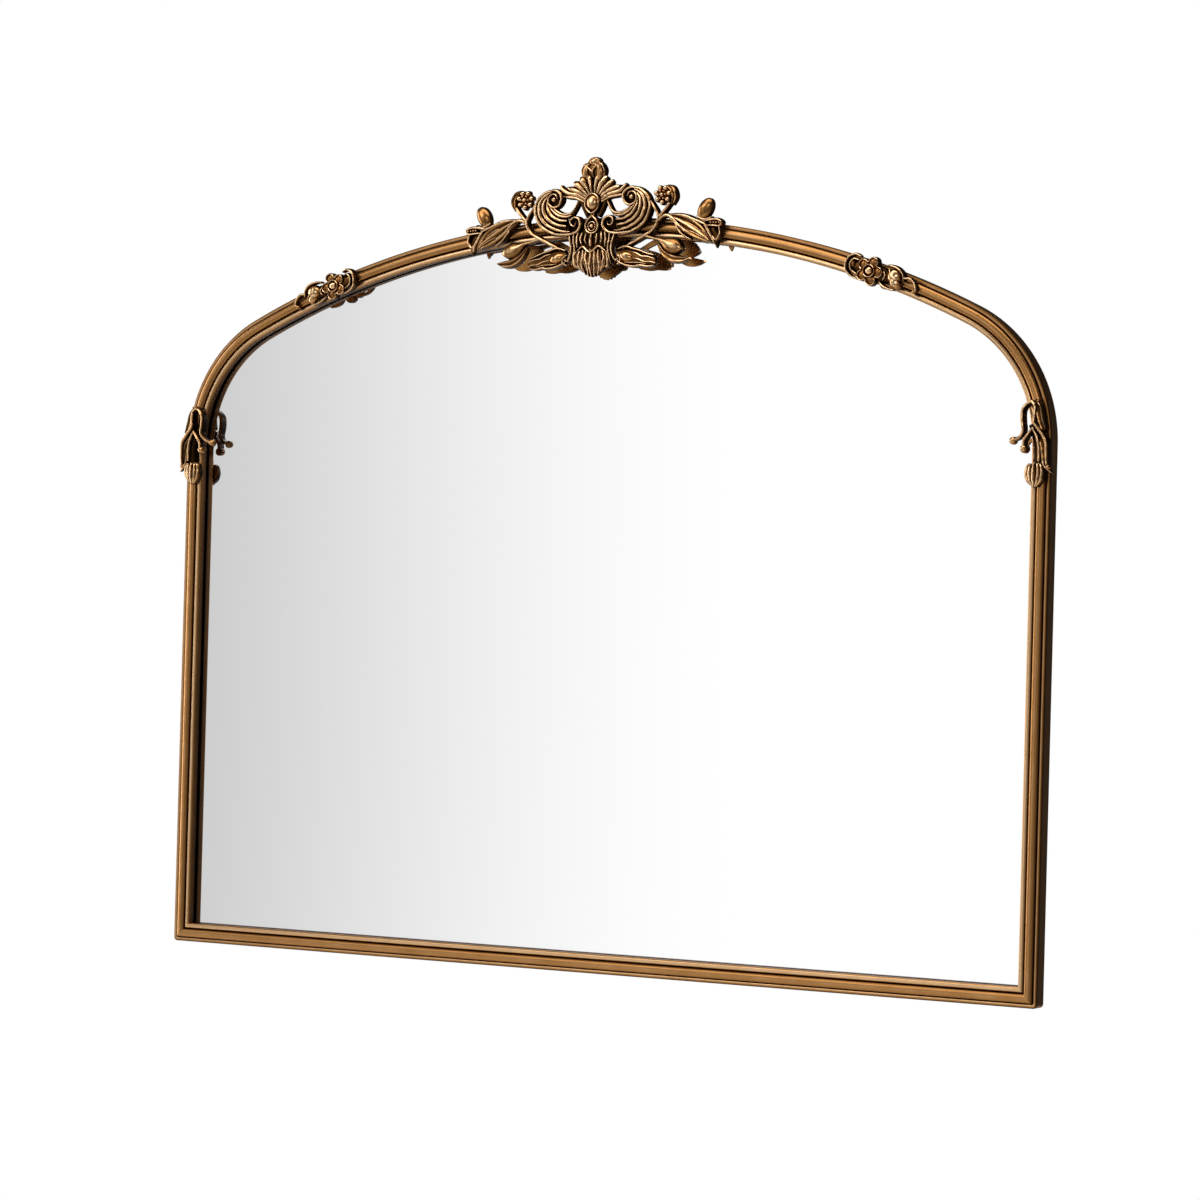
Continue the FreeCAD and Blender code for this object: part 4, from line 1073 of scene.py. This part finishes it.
class MIRROR_OT_back(bpy.types.Operator):
    """Finishes the back: board, blocks, splines, braces, points, hangers and bumpers"""

    bl_idname = "arched_mirror.back"
    bl_label = "Back fittings"

    def execute(self, context):
        dress(brown_hardboard(), "backing_board")
        dress(bare_pine("bare_pine_block", (1.0, 8.0, 8.0)), "setting_blocks", "joint_splines")
        zinc = plated_metal("zinc_brace", (0.50, 0.51, 0.53), (0.66, 0.67, 0.68), 0.32, 0.46)
        dress(zinc, "left_corner_brace", "right_corner_brace", "board_points")
        brass = plated_metal("brassed_hanger", (0.56, 0.40, 0.19), (0.72, 0.54, 0.28), 0.24, 0.38)
        dress(brass, "left_hanger_strap", "right_hanger_strap", "left_hanger_ring", "right_hanger_ring")
        dress(grey_rubber(), "wall_bumpers")
        return {"FINISHED"}


def screw_head(radius, height):
    """A pan head with a cross recess: points (across, out, up) in millimetres, and faces."""
    sides = 48
    shares = [1.0, 1.0, 0.97, 0.88, 0.76, 0.66, 0.56, 0.46, 0.36, 0.27, 0.18, 0.09, 0.02]
    levels = [0.0, 0.45, 0.66, 0.84, 0.93, 0.96, 0.98, 0.99, 1.0, 1.0, 1.0, 1.0, 1.0]
    points = []
    for share, level in zip(shares, levels):
        for side in range(sides):
            angle = 2 * math.pi * side / sides
            across, up = radius * share * math.cos(angle), radius * share * math.sin(angle)
            sunk = min(abs(across), abs(up)) < 0.16 * radius and share < 0.6
            points.append((across, height * (level - (0.45 if sunk else 0)), up))
    return np.array(points), ring_faces(len(shares), sides)


class MIRROR_OT_screws(bpy.types.Operator):
    """Drives the pan-head screws of the corner braces and the hanger straps"""

    bl_idname = "arched_mirror.screws"
    bl_label = "Screws"

    def execute(self, context):
        right, low = BRACE_HIGH.x / MM, BRACE_LOW.z / MM
        strap, foot = (STRAP_LOW.x + STRAP_HIGH.x) / 2 / MM, STRAP_LOW.z / MM
        brace_spots = [(right - inward, low + up) for inward, up in BRACE_SCREWS]
        strap_spots = [(strap, foot + up) for up in STRAP_SCREWS]
        groups = {
            "brace_screws": (brace_spots, BRACE_HIGH.y / MM, 3.2),
            "hanger_screws": (strap_spots, STRAP_LOW.y / MM + STRAP_PLATE, 3.0),
        }
        steel = plated_metal("zinc_screw", (0.55, 0.55, 0.56), (0.7, 0.7, 0.7), 0.28, 0.4)
        for side_name, side in (("left", -1), ("right", 1)):
            for name, (places, face, radius) in groups.items():
                head, head_faces = screw_head(radius, SCREW_HEIGHT)
                points, faces = [], []
                for turn, (across, up) in enumerate(places):
                    slope = 0.5 + 0.9 * turn
                    points.append(np.stack([
                        side * across + head[:, 0] * math.cos(slope) - head[:, 2] * math.sin(slope),
                        face - 0.05 + head[:, 1],
                        up + head[:, 0] * math.sin(slope) + head[:, 2] * math.cos(slope),
                    ], axis=1))
                    faces += [tuple(corner + turn * len(head) for corner in corners) for corners in head_faces]
                spots = np.concatenate(points)
                piece = mesh_piece(side_name + "_" + name, spots * MM, faces, np.ones(len(spots)), 35)
                settle(piece, steel, "steel")
        return {"FINISHED"}


def soft_light(name, place, aim, size, power, colour):
    light = bpy.data.lights.new(name, "AREA")
    light.shape = "RECTANGLE"
    light.size, light.size_y = size
    light.energy = power
    light.color = colour
    lamp = bpy.data.objects.new(name, light)
    lamp.location = place
    lamp.rotation_euler = (Vector(aim) - Vector(place)).to_track_quat("-Z", "Y").to_euler()
    bpy.context.collection.objects.link(lamp)


def pale_floor(drop):
    bpy.ops.mesh.primitive_circle_add(vertices=96, radius=3.2, fill_type="NGON", location=(0, 0, -drop))
    floor = bpy.context.object
    floor.name = "studio_floor"
    material, nodes, links, shader = empty_material("studio_floor")
    clouds = grain(nodes, links, 2.0, 2.0)
    colour = stepped(nodes, links, clouds, [(0.3, (0.88, 0.88, 0.88)), (0.7, (0.91, 0.91, 0.91))])
    links.new(colour, shader.inputs["Base Color"])
    shader.inputs["Roughness"].default_value = 0.9
    floor.data.materials.append(material)


def fading(nodes, links, source, first, last, low, high):
    """A smooth change from low to high as the source goes from first to last."""
    fade = nodes.new("ShaderNodeMapRange")
    fade.interpolation_type = "SMOOTHSTEP"
    fade.inputs["From Min"].default_value = first
    fade.inputs["From Max"].default_value = last
    fade.inputs["To Min"].default_value = low
    fade.inputs["To Max"].default_value = high
    links.new(source, fade.inputs["Value"])
    return fade.outputs["Result"]


def white_room(strength):
    """White to the eye; reflections meet a white wall in front, grey to its left, under a dimmer ceiling."""
    world = bpy.data.worlds.new("white_room")
    bpy.context.scene.world = world
    world.use_nodes = True
    nodes, links = world.node_tree.nodes, world.node_tree.links
    background = nodes["Background"]
    background.inputs["Color"].default_value = (1, 1, 1, 1)
    path = nodes.new("ShaderNodeLightPath")
    place = nodes.new("ShaderNodeTexCoord")
    split = nodes.new("ShaderNodeSeparateXYZ")
    links.new(place.outputs["Generated"], split.inputs[0])
    wall = None
    for axis, *change in ROOM_FADES:
        fade = fading(nodes, links, split.outputs[axis], *change)
        if wall is None:
            wall = fade
            continue
        dimmed = nodes.new("ShaderNodeMath")
        dimmed.operation = "MULTIPLY"
        links.new(wall, dimmed.inputs[0])
        links.new(fade, dimmed.inputs[1])
        wall = dimmed.outputs[0]
    mirrored = nodes.new("ShaderNodeMath")
    mirrored.operation = "MAXIMUM"
    links.new(path.outputs["Is Glossy Ray"], mirrored.inputs[0])
    links.new(path.outputs["Is Transmission Ray"], mirrored.inputs[1])
    lit = nodes.new("ShaderNodeMix")
    lit.inputs["A"].default_value = strength
    links.new(mirrored.outputs[0], lit.inputs["Factor"])
    links.new(wall, lit.inputs["B"])
    seen = nodes.new("ShaderNodeMix")
    seen.inputs["B"].default_value = 1.0
    links.new(path.outputs["Is Camera Ray"], seen.inputs["Factor"])
    links.new(lit.outputs["Result"], seen.inputs["A"])
    links.new(seen.outputs["Result"], background.inputs["Strength"])


class MIRROR_OT_studio(bpy.types.Operator):
    """Sets the pale floor, the soft lights, the white room and the camera"""

    bl_idname = "arched_mirror.studio"
    bl_label = "Studio"

    def execute(self, context):
        scene = context.scene
        look = scene.mirror_studio
        scene.view_settings.view_transform = "Standard"
        pale_floor(look.floor_drop)
        white_room(look.room_light)
        soft_light("key_light", (-1.6, -2.6, 2.4), (0, 0, 0.45), (1.8, 1.4), look.key_power, WARM_WHITE)
        soft_light("front_light", (1.5, -3.4, 1.5), (0, 0, 0.6), (0.9, 0.9), look.front_power, WARM_WHITE)
        soft_light("side_light", (-2.4, -0.3, 0.6), (0, -0.1, 0.45), (1.0, 2.2), look.side_power, SOFT_WHITE)
        soft_light("top_light", (0.3, -0.7, 2.5), (0, 0, 0.6), (2.4, 1.0), look.top_power, SOFT_WHITE)
        data = bpy.data.cameras.new("photo_camera")
        data.lens = look.lens
        data.sensor_width = 36
        data.clip_end = 50
        camera = bpy.data.objects.new("photo_camera", data)
        turn, tilt = Matrix.Rotation(CAMERA_TURN, 3, "Z"), Matrix.Rotation(CAMERA_TILT, 3, "X")
        aim = turn @ tilt @ Matrix.Rotation(CAMERA_ROLL, 3, "Y")
        right, forward, up = aim.col[0], aim.col[1], aim.col[2]
        turned = Matrix((right, up, -forward)).transposed().to_4x4()
        camera.matrix_world = Matrix.Translation(CAMERA_PLACE) @ turned
        context.collection.objects.link(camera)
        scene.camera = camera
        return {"FINISHED"}


class MIRROR_PT_pieces(bpy.types.Panel):
    """Lists the pieces of the mirror"""

    bl_idname = "MIRROR_PT_pieces"
    bl_label = "Arched wall mirror"
    bl_space_type = "VIEW_3D"
    bl_region_type = "UI"
    bl_category = "Mirror"

    def draw(self, context):
        for operator in OPERATORS:
            self.layout.operator(operator.bl_idname)
        for group in (context.scene.mirror_moulding, context.scene.mirror_gilding, context.scene.mirror_studio):
            for name in group.__annotations__:
                self.layout.prop(group, name)


OPERATORS = (
    MIRROR_OT_moulding, MIRROR_OT_crest, MIRROR_OT_roses, MIRROR_OT_sprigs,
    MIRROR_OT_glass, MIRROR_OT_back, MIRROR_OT_screws, MIRROR_OT_studio,
)
SETTINGS = {
    "mirror_moulding": MouldingSettings, "mirror_gilding": GildingSettings, "mirror_studio": StudioSettings,
}


def register():
    for group in SETTINGS.values():
        bpy.utils.register_class(group)
    for operator in OPERATORS:
        bpy.utils.register_class(operator)
    bpy.utils.register_class(MIRROR_PT_pieces)
    for name, group in SETTINGS.items():
        setattr(bpy.types.Scene, name, PointerProperty(type=group))


def unregister():
    for name in SETTINGS:
        delattr(bpy.types.Scene, name)
    bpy.utils.unregister_class(MIRROR_PT_pieces)
    for operator in reversed(OPERATORS):
        bpy.utils.unregister_class(operator)
    for group in reversed(SETTINGS.values()):
        bpy.utils.unregister_class(group)


def main():
    register()
    bpy.ops.arched_mirror.moulding()
    bpy.ops.arched_mirror.crest()
    bpy.ops.arched_mirror.roses()
    bpy.ops.arched_mirror.sprigs()
    bpy.ops.arched_mirror.glass()
    bpy.ops.arched_mirror.back()
    bpy.ops.arched_mirror.screws()
    bpy.ops.arched_mirror.studio()


if __name__ == "__main__":
    main()
